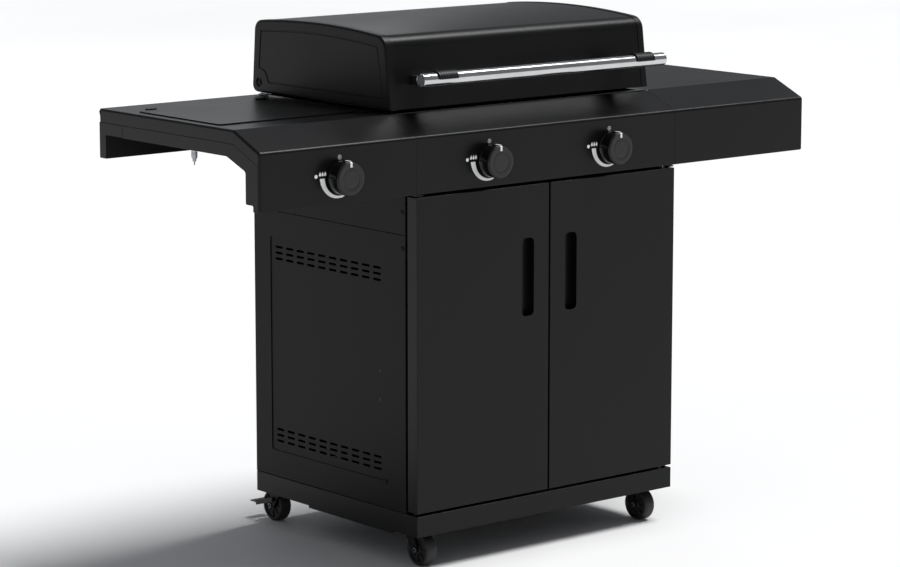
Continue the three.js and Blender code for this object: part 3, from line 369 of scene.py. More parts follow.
def boxLine(u0, u1, v0, v1, radius=0):
    return bentLine([(u0, v0, radius), (u0, v1, radius), (u1, v1, radius), (u1, v0, radius)], True, 5)


# Turns a profile of (radius, distance) pairs about an axis through a point
def lathe(bm, profile, centre, axis, steps=48):
    way = {"x": Vector((1, 0, 0)), "y": Vector((0, 1, 0)), "z": Vector((0, 0, 1))}[axis]
    out = Vector((0, 0, 1)) if axis != "z" else Vector((1, 0, 0))
    base = placed((centre[1], centre[2]), centre[0], "x")
    verts = [bm.verts.new(base + way * along * mm + out * radius * mm) for radius, along in profile]
    edges = [bm.edges.new(pair) for pair in zip(verts, verts[1:])]
    bmesh.ops.spin(bm, geom=verts + edges, cent=base, axis=way, dvec=(0, 0, 0), angle=2 * math.pi,
                   steps=steps, use_merge=True)
    settle(bm)


# A sheet folded to an outline and drawn out through stations of (x, inset); the last ones may round its end
def drawnSheet(bm, outline, stations, side=1, skip=None, starts=()):
    rows = [ring(bm, inset(outline, depth) if depth else outline, side * x, "x") for x, depth in stations]
    for index in range(len(rows) - 1):
        x = (stations[index][0] + stations[index + 1][0]) / 2
        for k in range(dict(starts).get(index, 0), len(outline) - 1):
            if not (skip and skip(x, (outline[k] + outline[k + 1]) / 2)):
                bm.faces.new((rows[index][k], rows[index][k + 1], rows[index + 1][k + 1], rows[index + 1][k]))
    return rows


# Doubles an open sheet inward by its thickness and closes its borders
def giveThickness(bm, thickness):
    bmesh.ops.remove_doubles(bm, verts=bm.verts, dist=1e-5)
    bmesh.ops.dissolve_degenerate(bm, edges=bm.edges, dist=1e-5)
    bm.normal_update()
    outer = bm.faces[:]
    borders = [e for e in bm.edges if len(e.link_faces) == 1]
    corners = [[pick(v.co[i] for v in bm.verts) for i in range(3)] for pick in (min, max)]
    partner = {}
    for vert in bm.verts[:]:
        sides = []
        for face in vert.link_faces:
            if all(face.normal.dot(side) < 0.98 for side in sides):
                sides.append(face.normal.copy())
        inward = sum(sides, Vector()).normalized()
        reach = thickness / max(min(inward.dot(side) for side in sides), 0.5)
        spot = vert.co - inward * reach
        partner[vert] = bm.verts.new([min(max(spot[i], corners[0][i]), corners[1][i]) for i in range(3)])
    for face in outer:
        bm.faces.new([partner[vert] for vert in reversed(face.verts)])
    for edge in borders:
        first, second = edge.verts
        bm.faces.new((first, second, partner[second], partner[first]))
    settle(bm)


# Gives a drawn sheet its thickness; its highest face is taken to look upward
def thicken(bm, thickness):
    loose = [v for v in bm.verts if not v.link_faces]
    bmesh.ops.delete(bm, geom=loose, context="VERTS")
    bmesh.ops.recalc_face_normals(bm, faces=bm.faces)
    highest = max(bm.faces, key=lambda f: f.calc_center_median().z)
    if highest.normal.z < 0:
        bmesh.ops.reverse_faces(bm, faces=bm.faces)
    giveThickness(bm, thickness * mm)


# Rounds the outer edges of a box standing inside a mesh
def roundBox(bm, lowCorner, highCorner, width):
    chosen = []
    for edge in bm.edges:
        on = 0
        for axis in range(3):
            for level in (lowCorner[axis], highCorner[axis]):
                if all(abs(v.co[axis] - level) < 0.05 * mm for v in edge.verts):
                    on += 1
        if on >= 2 and len(edge.link_faces) == 2:
            chosen.append(edge)
    breakEdges(bm, width, edges=chosen, segments=3)


# Rounds the short corner edges that run through a sheet along an axis
def roundCorners(bm, axis, longest, width):
    chosen = []
    for edge in bm.edges:
        span = edge.verts[1].co - edge.verts[0].co
        across = [abs(span[i]) for i in range(3) if i != axis]
        if max(across) < 0.01 * mm and 0 < span.length < longest and len(edge.link_faces) == 2:
            if edge.calc_face_angle(0) > 1.2:
                chosen.append(edge)
    breakEdges(bm, width, edges=chosen, segments=5)


# Head of a screw or bolt with a sunk socket, standing on a face and pointing along an axis
def screwHead(bm, centre, axis, way, radius, height):
    profile = [(0, 0), (1, 0), (1, 0.45), (0.86, 0.85), (0.55, 1), (0.5, 1), (0.42, 0.45), (0, 0.4)]
    lathe(bm, [(r * radius, h * height * way) for r, h in profile], centre, axis, 20)


def hexNut(bm, centre, way, across, height):
    plate(bm, [circleLine(centre[1:], across / math.sqrt(3), 6)], centre[0], centre[0] + way * height, "x")


def builtPiece(name, build, body, slot, width=0.3 * mm, **more):
    bm = bmesh.new()
    build(bm)
    return addPiece(name, bm, body, slot, width, **more)


# Console profile: foot return, face, bullnose and slope, up to the deck
consoleLook = {"faceTop": 718, "faceFoot": 616.5, "noseRadius": 7, "creaseRadius": 5, "slopeRun": 75,
               "deck": 751, "stepY": 19, "step": 11, "returnY": 40, "rearLip": 14, "depth": 481, "skirt": 24,
               "sheet": 1.2, "endRadius": 4.5}


def consoleLine():
    look = consoleLook
    foot, top = look["faceFoot"], look["faceTop"]
    return [(look["returnY"], foot + look["step"]), (look["stepY"], foot + look["step"]),
            (look["stepY"], foot), (0, foot, 1.5), (0, top - look["skirt"]),
            (0, top, look["noseRadius"]), (look["slopeRun"], look["deck"], look["creaseRadius"])]


def controlPanel(bm):
    look = consoleLook
    points = consoleLine()[:-1]
    points += [(look["slopeRun"], look["deck"], 2), (look["slopeRun"], look["deck"] - look["rearLip"])]
    half = halfCabinet / mm - 0.2
    drawnSheet(bm, bentLine(points), [(-half, 0), (0, 0), (half, 0)])
    thicken(bm, look["sheet"])


builtPiece("controlPanelFolded", controlPanel, "root", "powder_coat", replaces=("control_panel",))


# A table: the console profile carried on to a rounded end, with the band that closes the end
def tableShell(bm, side, mouth=None):
    look = consoleLook
    radius, end = look["endRadius"], tableEnd / mm
    points = consoleLine()
    if mouth:
        points += [(mouth[2], look["deck"]), (mouth[3], look["deck"])]
    points += [(look["depth"], look["deck"], 2.4), (look["depth"], look["deck"] - look["skirt"])]
    outline = bentLine(points)
    bandStart = next(k for k, p in enumerate(outline) if abs(p.y - look["faceTop"] + look["skirt"]) < 0.01)
    faceStart = next(k for k, p in enumerate(outline) if abs(p.x) < 0.001)
    xs = [halfCabinet / mm + 0.4, *(mouth[:2] if mouth else ()), end - radius]
    turns = [math.radians(angle) for angle in (15, 30, 45, 60, 75, 90)]
    curve = [(end - radius + radius * math.sin(a), radius * (1 - math.cos(a))) for a in turns]
    starts = [(len(xs) - 1 + i, faceStart) for i in range(len(curve))]

    def inMouth(x, spot):
        inside = mouth and mouth[0] < x < mouth[1] and mouth[2] < spot.x < mouth[3]
        return inside and spot.y > look["faceTop"]

    rows = drawnSheet(bm, outline, [(x, 0) for x in xs] + curve, side, inMouth, starts)
    slope = (look["deck"] - look["faceTop"]) / look["slopeRun"]
    band = []
    for k in range(bandStart, len(outline)):
        y = min(max(outline[k].x, radius), look["depth"] - radius)
        z = min(look["faceTop"] + slope * y, look["deck"]) - look["skirt"]
        band.append(bm.verts.new(placed((y, z), side * end, "x")))
    joinRings(bm, rows[-1][bandStart:], band, False)
    thicken(bm, look["sheet"])


mouthLook = {"left": (340.8, 619.2, 160.8, 369.2)}  # x and y of the side burner's opening
for side, name in ((-1, "left"), (1, "right")):
    builtPiece(name + "TableFolded", lambda bm: tableShell(bm, side, mouthLook.get(name)), "root",
               "powder_coat", replaces=(name + "_table_shell",), smoothAngle=32)


# Lower half of a table end, with a flange along its stepped foot
frameLook = {"height": 22, "kneeY": 88, "kneeDrop": 21, "rearTrim": 73, "flange": 18, "seam": 0.9,
             "strip": 0.9}


def tableFrame(bm, side):
    look = consoleLook
    front = look["endRadius"] + frameLook["seam"]
    top = look["deck"] - look["skirt"] - frameLook["seam"]
    foot = top - frameLook["height"]
    back = look["depth"] - frameLook["rearTrim"] - 0.4
    slope = (look["deck"] - look["faceTop"]) / look["slopeRun"]
    step = look["faceFoot"] + look["step"]
    drop = look["deck"] - top
    toe = look["faceFoot"] + 0.2
    lower = bentLine([(back, foot), (frameLook["kneeY"] + 6, foot, 9),
                      (look["returnY"], foot - frameLook["kneeDrop"], 7), (look["returnY"], step, 3),
                      (look["stepY"], step, 3), (look["stepY"], toe)])
    rest = bentLine([(look["stepY"], toe), (front, toe, 1.5), (front, look["faceTop"] + slope * front - drop),
                     (look["slopeRun"], top), (back, top)])
    verts = ring(bm, lower + rest[1:], side * (tableEnd / mm - 0.1), "x")
    fillRings(bm, [verts])
    flange = ring(bm, lower, side * (tableEnd / mm - frameLook["flange"]), "x")
    joinRings(bm, verts[:len(lower)], flange, False)
    bmesh.ops.recalc_face_normals(bm, faces=bm.faces)
    if sum(f.normal.x * f.calc_area() for f in bm.faces) * side < 0:
        bmesh.ops.reverse_faces(bm, faces=bm.faces)
    giveThickness(bm, look["sheet"] * mm)


# Dark gloss strip where the band of a table end meets its rear corner: painted shade standing in for the seam
# between them
def bandSeamShade(bm, side):
    look = consoleLook
    y = look["depth"] - frameLook["rearTrim"] + 2
    end = side * (tableEnd / mm - 0.42)
    strip = boxLine(y, y + frameLook["strip"], look["deck"] - look["skirt"] + 0.3, look["deck"] - 2.6)
    plate(bm, [strip], end, end + side * 0.4, "x")


for side, name in ((-1, "left"), (1, "right")):
    # a flush dark strip of painted shade along the rear seam
    builtPiece(name + "BandSeamShade", lambda bm: bandSeamShade(bm, side), "root", "gloss_plastic", 0)
    builtPiece(name + "TableEnd", lambda bm: tableFrame(bm, side), "root", "powder_coat",
               replaces=(name + "_table_frame",))
print("console and tables made")

# Hood: outline of front bullnose, arched crown, rounded back and heel
hoodLook = {"foot": 757, "rise": 140.9, "front": 74, "back": 484, "frontLean": 16.2, "backLean": 10,
            "crownRadius": 1828, "crownBehind": 184, "frontRadius": 26, "backRadius": 20, "heelRadius": 14,
            "pivot": (461, 776), "shellInset": 0.8, "shellLip": 14, "sheet": 1.2, "endWidth": 16, "edge": 4.5,
            "margin": 19, "groove": 1.6, "grooveDepth": 1.4, "boss": 26, "bossHole": 9, "web": 5.5,
            "boltRadius": 5.6, "boltHeight": 2.2}


def hoodLine(depth, foot=False):
    look = hoodLook
    front, back = look["front"] + depth, look["back"] - depth
    topFront, topBack = front + look["frontLean"], back - look["backLean"]
    centre = look["back"] - look["crownBehind"]
    top = look["foot"] + look["rise"] - depth

    def crown(y):
        return top - (y - centre) ** 2 / (2 * look["crownRadius"])

    ys = [topFront + (topBack - topFront) * i / 24 for i in range(1, 24)]
    points = [(front, look["foot"] + (0 if foot else depth)),
              (topFront, crown(topFront), max(look["frontRadius"] - depth, 1.5))]
    points += [(y, crown(y)) for y in ys if topFront + 28 < y < topBack - 20]
    points += [(topBack, crown(topBack), max(look["backRadius"] - depth, 1.5)),
               (back, look["foot"] + depth, max(look["heelRadius"] - depth, 1.5))]
    return points


def hoodShell(bm):
    look = hoodLook
    points = hoodLine(look["shellInset"], True)
    points = [(points[0][0] + look["shellLip"], look["foot"]), (*points[0], 1.5)] + points[1:]
    points += [(look["pivot"][0] - 6, look["foot"] + look["shellInset"])]
    half = halfCabinet / mm - look["endWidth"] - 0.4
    drawnSheet(bm, bentLine(points, steps=14), [(-half, 0), (0, 0), (half, 0)])
    thicken(bm, look["sheet"])


builtPiece("hoodSheet", hoodShell, "hood", "powder_coat", replaces=("hood_shell",), smoothAngle=25)


# A cast end: rounded rim, a groove round its raised field and a round boss with the pivot recess
def hoodEnd(bm, side):
    look = hoodLook
    outer, inner = halfCabinet / mm, halfCabinet / mm - look["endWidth"]
    edge = look["edge"]
    outline = bentLine(hoodLine(0), True, 12)
    rows = [ring(bm, outline, side * inner, "x"), ring(bm, outline, side * (outer - edge), "x")]
    for angle in (15, 30, 45, 60, 75, 90):
        a = math.radians(angle)
        line = inset(outline, edge * (1 - math.cos(a)), True)
        rows.append(ring(bm, line, side * (outer - edge + edge * math.sin(a)), "x"))
    joinAll(bm, rows)
    pivot = Vector(look["pivot"])

    # The field stops short of the boss, which it follows in an arc
    line = bentLine(hoodLine(look["margin"]), True, 8)
    dense = []
    for index, here in enumerate(line):
        after = line[(index + 1) % len(line)]
        parts = max(1, int((after - here).length / 4))
        dense += [here.lerp(after, i / parts) for i in range(parts)]
    outside = [(p - pivot).length > look["boss"] for p in dense]
    first = next(i for i in range(len(dense)) if outside[i] and not outside[i - 1])
    turned = dense[first:] + dense[:first]
    kept = [p for p in turned if (p - pivot).length > look["boss"]]
    begin, end = kept[-1] - pivot, kept[0] - pivot
    turn, steps = begin.angle_signed(end), 10
    arc = [pivot + Matrix.Rotation(-turn * i / steps, 2) @ (begin.normalized() * look["boss"])
           for i in range(1, steps)]
    field = kept + arc

    groove, deep = look["groove"], look["grooveDepth"]
    rings = [ring(bm, field, side * outer, "x")]
    for across, down in ((groove * 0.5, deep), (groove * 1.5, deep), (groove * 2, deep * 0.35)):
        rings.append(ring(bm, inset(field, across, True), side * (outer - down), "x"))
    joinAll(bm, rings)
    holeRings = [ring(bm, circleLine(pivot, look["bossHole"] - step, 40), side * (outer - down), "x")
                 for step, down in ((0, 0), (0.6, 0.6), (0.6, 2.4))]
    joinAll(bm, holeRings)
    fillRings(bm, [rows[-1], rings[0], holeRings[0]])
    fillRings(bm, [rings[-1]])
    fillRings(bm, [holeRings[-1]])
    cavity = bentLine(hoodLine(3), True, 12)
    back = ring(bm, cavity, side * inner, "x")
    deepBack = ring(bm, cavity, side * (outer - look["web"]), "x")
    joinRings(bm, back, deepBack)
    fillRings(bm, [rows[0], back])
    fillRings(bm, [deepBack])
    settle(bm)


def pivotBolt(bm, side):
    look = hoodLook
    centre = (side * (halfCabinet / mm - 2.4), *look["pivot"])
    screwHead(bm, centre, "x", side, look["boltRadius"], look["boltHeight"])


for side, name in ((-1, "Left"), (1, "Right")):
    builtPiece("hoodEnd" + name, lambda bm: hoodEnd(bm, side), "hood", "cast_aluminium", 0.25 * mm, angle=50,
               replaces=("hood_end_" + name.lower(),), smoothAngle=35)
    builtPiece("hoodBolt" + name, lambda bm: pivotBolt(bm, side), "hood", "dark_steel", 0.1 * mm)
print("hood made")

# Handle: a polished tube with grey end plugs, held by two ribbed clips
handleLook = {"radius": 12, "half": 289.5, "y": 14, "z": 815, "clipX": 236, "clipWidth": 42, "skin": 3,
              "armTop": 1, "armFoot": 15, "ribs": 8, "ribWidth": 2.4, "ribHeight": 0.9}


def handleTube(bm):
    look = handleLook
    r, half = look["radius"], look["half"]
    profile = [(0, -half + 2), (r - 1.8, -half + 2), (r - 1.4, -half + 0.3), (r - 1, -half),
               (r - 0.4, -half + 0.2), (r, -half + 0.9)]
    lathe(bm, profile + [(radius, -along) for radius, along in reversed(profile)],
          (0, look["y"], look["z"]), "x", 64)


def handlePlug(bm, side):
    look = handleLook
    r, half = look["radius"] - 2.6, look["half"]
    profile = [(0, half - 0.1), (r * 0.5, half - 0.15), (r - 0.6, half - 0.4), (r, half - 1), (r, half - 2.3),
               (0, half - 2.3)]
    lathe(bm, [(radius, along * side) for radius, along in profile], (0, look["y"], look["z"]), "x", 48)


def clipLine(skin):
    look = handleLook
    y, z, r = look["y"], look["z"], look["radius"]
    armTop, armFoot = z + look["armTop"], z - look["armFoot"]

    def faceAt(height):
        return hoodLook["front"] + 0.3 + hoodLook["frontLean"] * (height - hoodLook["foot"]) / 128

    outer = bentLine([(y - skin, z), (y - skin, z + skin, skin * 0.96), (y + skin, z + skin, skin * 0.9),
                      (y + skin, armTop, 3), (faceAt(armTop), armTop), (faceAt(armFoot), armFoot),
                      (y + skin, armFoot, 4), (y + r + 0.35, z - 3)], steps=10)
    arc = [Vector((y + (r + 0.3) * math.cos(math.radians(a)), z + (r + 0.3) * math.sin(math.radians(a))))
           for a in range(-15, 181, 12)]
    return outer + arc


def handleClip(bm, side):
    look = handleLook
    skin = look["radius"] + look["skin"]
    low, high = side * look["clipX"] - look["clipWidth"] / 2, side * look["clipX"] + look["clipWidth"] / 2
    plate(bm, [clipLine(skin - look["ribHeight"])], low, high, "x")


# Ribs over the clip, each a slice of its full thickness
def clipRibs(bm, side):
    look = handleLook
    skin = look["radius"] + look["skin"]
    y, z = look["y"], look["z"]
    low = side * look["clipX"] - look["clipWidth"] / 2
    pitch = (look["clipWidth"] - look["ribWidth"]) / (look["ribs"] - 1)
    outer = bentLine([(y - skin, z + 0.2), (y - skin, z + skin, skin * 0.96),
                      (y + skin, z + skin, skin * 0.9), (y + skin, z + 3)], steps=10)
    inner = [Vector((y, z)) + (p - Vector((y, z))) * 0.9 for p in reversed(outer)]
    for i in range(look["ribs"]):
        plate(bm, [outer + inner], low + i * pitch, low + i * pitch + look["ribWidth"], "x")


builtPiece("handleTubePolished", handleTube, "hood", "stainless", 0, replaces=("handle_tube",),
           smoothAngle=50)
for side, name in ((-1, "Left"), (1, "Right")):
    builtPiece("handlePlug" + name, lambda bm: handlePlug(bm, side), "hood", "black_plastic", 0,
               material=plugPlastic)
    builtPiece("handleClip" + name, lambda bm: handleClip(bm, side), "hood", "black_plastic", 0.5 * mm,
               replaces=("handle_bracket_" + name.lower(),))
    builtPiece("clipRibs" + name, lambda bm: clipRibs(bm, side), "hood", "black_plastic", 0.3 * mm, angle=60)
print("handle made")

# Controls: knobs with a grooved face and a white pointer, glossy bezels and printed dials
knobLook = {"radius": 30, "face": -33, "rear": -10, "z": 664, "groove": 17.5, "pointerWidth": 4.6}
bezelLook = {"foot": 26, "nose": 21.5, "bore": 11, "length": 8}
stations = {"side": -480, "left": -144, "right": 144}


def knob(bm, x):
    look = knobLook
    r, face, rear = look["radius"], look["face"], look["rear"]
    profile = [(0, face + 2.2), (r - 2.6, face + 2.2), (r - 2.4, face + 1.6), (r - 1.2, face + 1.5),
               (r - 0.5, face + 2.1), (r - 0.1, face + 3.4), (r, face + 5), (r - 0.3, rear + 1),
               (r - 0.9, rear + 0.2), (r - 2.8, rear), (r - 3, rear - 2), (r - 3, face + 6), (9, face + 6),
               (8.5, rear), (4.4, rear), (4.4, face + 10), (0, face + 10)]
    lathe(bm, profile, (x, 0, look["z"]), "y", 96)


def cap(bm, x):
    look = knobLook
    r, face, g = look["radius"], look["face"], look["groove"]
    profile = [(0, face + 0.6), (g - 6, face + 0.6), (g - 1.2, face + 0.55), (g - 0.3, face + 1.1),
               (g + 0.5, face + 1.1), (g + 1.3, face + 0.3), (r - 5, face), (r - 3.4, face + 0.15),
               (r - 2.7, face + 0.6), (r - 2.5, face + 1.2), (r - 2.6, face + 2.1), (0, face + 2.1)]
    lathe(bm, profile, (x, 0, look["z"]), "y", 96)


def pointer(bm, x):
    look = knobLook
    half, r, face = look["pointerWidth"] / 2, look["radius"], look["face"]
    side = bentLine([(face + 16, r - 0.5), (face + 16, r + 0.12), (face + 3.5, r + 0.12, 2.5),
                     (face, r - 2.5, 2), (face, r - 10.5), (face + 0.5, r - 10.5), (face + 0.9, r - 3.2),
                     (face + 3.6, r - 0.5)], True, 4)
    moved = [Vector((p.x, look["z"] + p.y)) for p in side]
    plate(bm, [moved], x - half, x + half, "x")


# The notch on the cap is drawn as a thin dark gloss plate standing proud of the face: painted shade for the
# notch
def notchShade(bm, x):
    look = knobLook
    mark = boxLine(x - 1.1, x + 1.1, look["z"] + 6, look["z"] + 9.5, 0.8)
    plate(bm, [mark], look["face"] + 0.3, look["face"] + 0.9, "y")


def bezel(bm, x):
    look = bezelLook
    foot, nose, length = look["foot"], look["nose"], look["length"]
    profile = [(look["bore"], -0.4), (foot - 0.3, -0.4), (foot, -0.8), (foot - 0.1, -2.2), (foot - 0.9, -3.4),
               (nose + 1.4, -length + 0.4), (nose + 0.2, -length - 0.2), (nose - 1.2, -length - 0.4),
               (look["bore"], -length - 0.4), (look["bore"], -0.4)]
    lathe(bm, profile, (x, 0, knobLook["z"]), "y", 96)


# Marks round a knob, in millimetres about its axis: low crescent, flames, dot, ring and dash
dialLook = {"inner": 32.5, "outer": 43, "taper": 0.45, "tailFrom": 16, "tailRadius": 36.2, "tail": 0.58,
            "steps": 23, "pitch": 6, "ringHeight": 34, "dot": (-51, 4.5), "flames": (-42.5, -37, -31.5),
            "flame": ((0, 3.9), (1.7, 4.9), (2.5, 6.8), (2.0, 8.8), (0.9, 10.4), (0.5, 12.3), (-0.7, 10.6),
                      (-2.0, 8.4), (-2.5, 6.4), (-1.6, 4.7))}


def dialPrint(bm, x):
    look = dialLook
    centre = Vector((x, knobLook["z"]))

    def mark(*loops):
        plate(bm, [[centre + point for point in loop] for loop in loops], -0.14, -0.04, "y")

    outer, inner = [], []
    for i in range(look["steps"]):
        tail = look["tailRadius"] - (i - look["tailFrom"]) * look["tail"]
        reach = look["outer"] - look["taper"] * i if i < look["tailFrom"] else tail
        angle = math.radians(180 + i * look["pitch"])
        away = Vector((math.cos(angle), math.sin(angle)))
        outer.append(away * reach)
        inner.append(away * look["inner"])
    mark(outer + inner[::-1])
    top = (0, look["ringHeight"])
    mark(circleLine(top, 3.9, 24), circleLine(top, 2.9, 24))
    mark(circleLine(top, 1.3, 16))
    mark(circleLine(look["dot"], 3.3, 24))
    mark(boxLine(-2.2, 2.2, 26.6, 27.4))
    for place in look["flames"]:
        mark([Vector((place + u, v)) for u, v in look["flame"]])


for name, x in stations.items():
    body = name + "_knob"
    # the barrel carries the darker copy of the knob plastic, painted shade on its side
    builtPiece(name + "KnobTurned", lambda bm: knob(bm, x), body, "black_plastic", 0,
               replaces=("knob_" + name,), smoothAngle=50, material=knobBarrelShade)
    builtPiece(name + "KnobCap", lambda bm: cap(bm, x), body, "black_plastic", 0, smoothAngle=50,
               material=knobCap)
    builtPiece(name + "KnobPointer", lambda bm: pointer(bm, x), body, "black_plastic", 0.1 * mm,
               material=whitePrint)
    builtPiece(name + "KnobNotchShade", lambda bm: notchShade(bm, x), body, "gloss_plastic", 0.1 * mm)
    builtPiece(name + "BezelTurned", lambda bm: bezel(bm, x), "root", "gloss_plastic", 0,
               replaces=("bezel_" + name,), smoothAngle=50)
    builtPiece(name + "DialPrint", lambda bm: dialPrint(bm, x), "root", "powder_coat", 0,
               material=whitePrint)
print("controls made")


# Cabinet: folded doors and panels with rounded outer folds, and vents with round ends
def cabinetPanel(node, axis, rounding, box=None, material=None):
    bm = nodeMesh(node)
    lowCorner, highCorner = box or (low(node), high(node))
    roundBox(bm, lowCorner, highCorner, rounding)
    if axis is not None:
        roundCorners(bm, axis, 6 * mm, 1.9 * mm)
    return addPiece(plainName(node) + "Folded", bm, nodeBody[node], "powder_coat", 0.3 * mm, 50, (node,),
                    material)


doorLook = {"rounding": 1.1 * mm, "foot": 43, "top": 611}
for name in ("door_left", "door_right"):
    lowCorner, highCorner = low(name).copy(), high(name).copy()
    lowCorner.z, highCorner.z = baseZ + doorLook["foot"] * mm, baseZ + doorLook["top"] * mm
    lowCorner.y = frontY
    cabinetPanel(name, None, doorLook["rounding"], box=(lowCorner, highCorner))
# side panels take the darker copy of the powder coat, painted shade
for name in ("side_panel_left", "side_panel_right", "upper_side_left", "upper_side_right"):
    cabinetPanel(name, 0, 0.9 * mm, material=sideShadePaint)
cabinetPanel("back_panel", 1, 0)
cabinetPanel("base_tray", None, 1.4 * mm)
cabinetPanel("front_crossbar", None, 0.8 * mm)
cabinetPanel("left_rear_plate", None, 0.9 * mm)
cabinetPanel("right_rear_plate", None, 0.9 * mm)

screwLook = {"radius": 4.3, "height": 1.9, "side": ((42, 581), (42, 516), (463, 535), (90, 87)),
             "backX": 296, "backHeights": (60, 300, 540, 725), "bushes": ((107, 235), (106, 287))}
panelBack = high("back_panel").y / mm - frontY / mm


def sideScrews(bm, side):
    for y, z in screwLook["side"]:
        screwHead(bm, (side * (halfCabinet / mm), y, z), "x", side, screwLook["radius"], screwLook["height"])


# Spare fixing holes in the sunk field, each drawn as a small dark gloss disc: painted shade standing in for
# the dark inside of the hole
def sideBushes(bm, side):
    profile = [(0, -0.2), (1.2, -0.2), (1.4, 0.25), (2.1, 0.2), (2.2, -0.3)]
    for y, z in screwLook["bushes"]:
        lathe(bm, [(r, h * side) for r, h in profile], (side * (halfCabinet / mm - 1.5), y, z), "x", 16)


def backScrews(bm):
    for z in screwLook["backHeights"]:
        for x in (-screwLook["backX"], screwLook["backX"]):
            screwHead(bm, (x, panelBack, z), "y", 1, screwLook["radius"], screwLook["height"])


for side, name in ((-1, "Left"), (1, "Right")):
    # dark discs of painted shade in place of the spare holes
    builtPiece("sideBushes" + name, lambda bm: sideBushes(bm, side), "root", "gloss_plastic", 0)
    builtPiece("sideScrews" + name, lambda bm: sideScrews(bm, side), "root", "dark_steel", 0.1 * mm)
builtPiece("backScrews", backScrews, "root", "zinc_steel", 0.1 * mm)


# Rubber lining round the hose port
liningLook = {"half": 45, "foot": 300, "top": 346, "rim": 2.4, "corner": 12, "height": 1.5}


def portLining(bm):
    look = liningLook
    rim, half = look["rim"], look["half"]
    outer = boxLine(-half, half, look["foot"], look["top"], look["corner"])
    inner = boxLine(rim - half, half - rim, look["foot"] + rim, look["top"] - rim, look["corner"] - 2)
    plate(bm, [outer, inner], panelBack + 0.1, panelBack + 0.1 + look["height"], "y")


builtPiece("hosePortLining", portLining, "root", "caster_rubber", 0.4 * mm, angle=60)

# Lid of the side burner: a shallow pan with chamfered edges, and its two knuckles
lidLook = {"front": 138, "back": 384, "half": 151, "centre": -480, "foot": 751.4, "rise": 2.0, "rim": 0.6,
           "sheet": 1.1, "chamfer": 1.5, "corner": 7, "knuckle": 2.4, "knuckleInset": 30, "pivotY": 389}


def burnerLid(bm):
    look = lidLook
    u0, u1 = look["centre"] - look["half"], look["centre"] + look["half"]
    v0, v1 = look["front"], look["back"]
    outline = boxLine(u0, u1, v0, v1, look["corner"])
    foot, rim = look["foot"], look["rim"]
    rows = [ring(bm, outline, foot, "z"), ring(bm, outline, foot + rim, "z")]
    for t in (0.2, 1.0):
        line = inset(outline, look["chamfer"] * t, True)
        rows.append(ring(bm, line, foot + rim + (look["rise"] - rim) * t, "z"))
    rows.append(ring(bm, inset(outline, look["chamfer"] + 6, True), foot + look["rise"] + 0.1, "z"))
    joinAll(bm, rows)
    fillRings(bm, [rows[-1]])
    thicken(bm, look["sheet"])
    thick, thin = look["knuckle"], look["knuckle"] - 0.4
    profile = [(0, -11), (thin, -11), (thick, -10.6), (thick, 10.6), (thin, 11), (0, 11)]
    for x in (u0 + look["knuckleInset"], u1 - look["knuckleInset"]):
        lathe(bm, profile, (x, look["pivotY"], foot + 2.6), "x", 20)


builtPiece("burnerLidPressed", burnerLid, "burner_lid", "powder_coat", 0, replaces=("side_burner_lid",),
           smoothAngle=30)

# Casters: ribbed wheels with a rounded tread, axle nuts and softened forks
wheelLook = {"radius": 30.49, "half": 12, "dish": 3.2, "rim": 23.5, "hub": 8.5, "ribs": 8, "nutReach": 16.3}


def casterWheel(bm, centre):
    look = wheelLook
    r, half, rim, hub, dish = look["radius"], look["half"], look["rim"], look["hub"], look["dish"]
    halfProfile = [(4, half - 0.2), (hub - 0.8, half - 0.2), (hub, half - 0.9), (hub + 0.4, half - dish),
                   (rim - 1, half - dish), (rim, half - 0.7), (rim + 1, half), (r - 3.6, half),
                   (r - 2.4, half - 0.5), (r - 0.8, half - 2.6), (r - 0.15, half - 5), (r, half - 8)]
    profile = halfProfile + [(radius, -along) for radius, along in reversed(halfProfile)]
    lathe(bm, profile + [halfProfile[0]], centre, "x", 64)
    for way in (-1, 1):
        for i in range(look["ribs"]):
            angle = 2 * math.pi * i / look["ribs"]
            out = Vector((math.cos(angle), math.sin(angle)))
            across = Vector((-out.y, out.x))
            corners = ((hub - 0.3, -0.9), (rim + 0.2, -0.7), (rim + 0.2, 0.7), (hub - 0.3, 0.9))
            bar = [Vector(centre[1:]) + out * a + across * b for a, b in corners]
            plate(bm, [bar], centre[0] + way * (half - dish - 0.3), centre[0] + way * (half - 1.2), "x")


def axleNuts(bm, centre):
    for way in (-1, 1):
        hexNut(bm, (centre[0] + way * wheelLook["nutReach"], *centre[1:]), way, 8, 2.6)


for corner in ("front_left", "front_right", "rear_left", "rear_right"):
    wheel, fork = "caster_wheel_" + corner, "caster_fork_" + corner
    spot = middle(wheel)
    centre = (spot.x / mm, (spot.y - frontY) / mm, (spot.z - baseZ) / mm)
    builtPiece(plainName(wheel) + "Moulded", lambda bm: casterWheel(bm, centre), corner + "_wheel",
               "caster_rubber", 0.2 * mm, angle=60, replaces=(wheel,), smoothAngle=32)
    builtPiece(plainName(fork) + "Nuts", lambda bm: axleNuts(bm, centre), corner + "_fork", "zinc_steel")
    softened(fork, "dark_steel", 0.5 * mm)


# Gas ports along the main burners, two rows on each, drawn as thin dark discs on the burner: painted shade
# standing in for the holes
portLook = {"radius": 1.1, "pitch": 9, "rise": 38, "front": 100, "back": 420, "burnerZ": 664, "depth": 0.15}


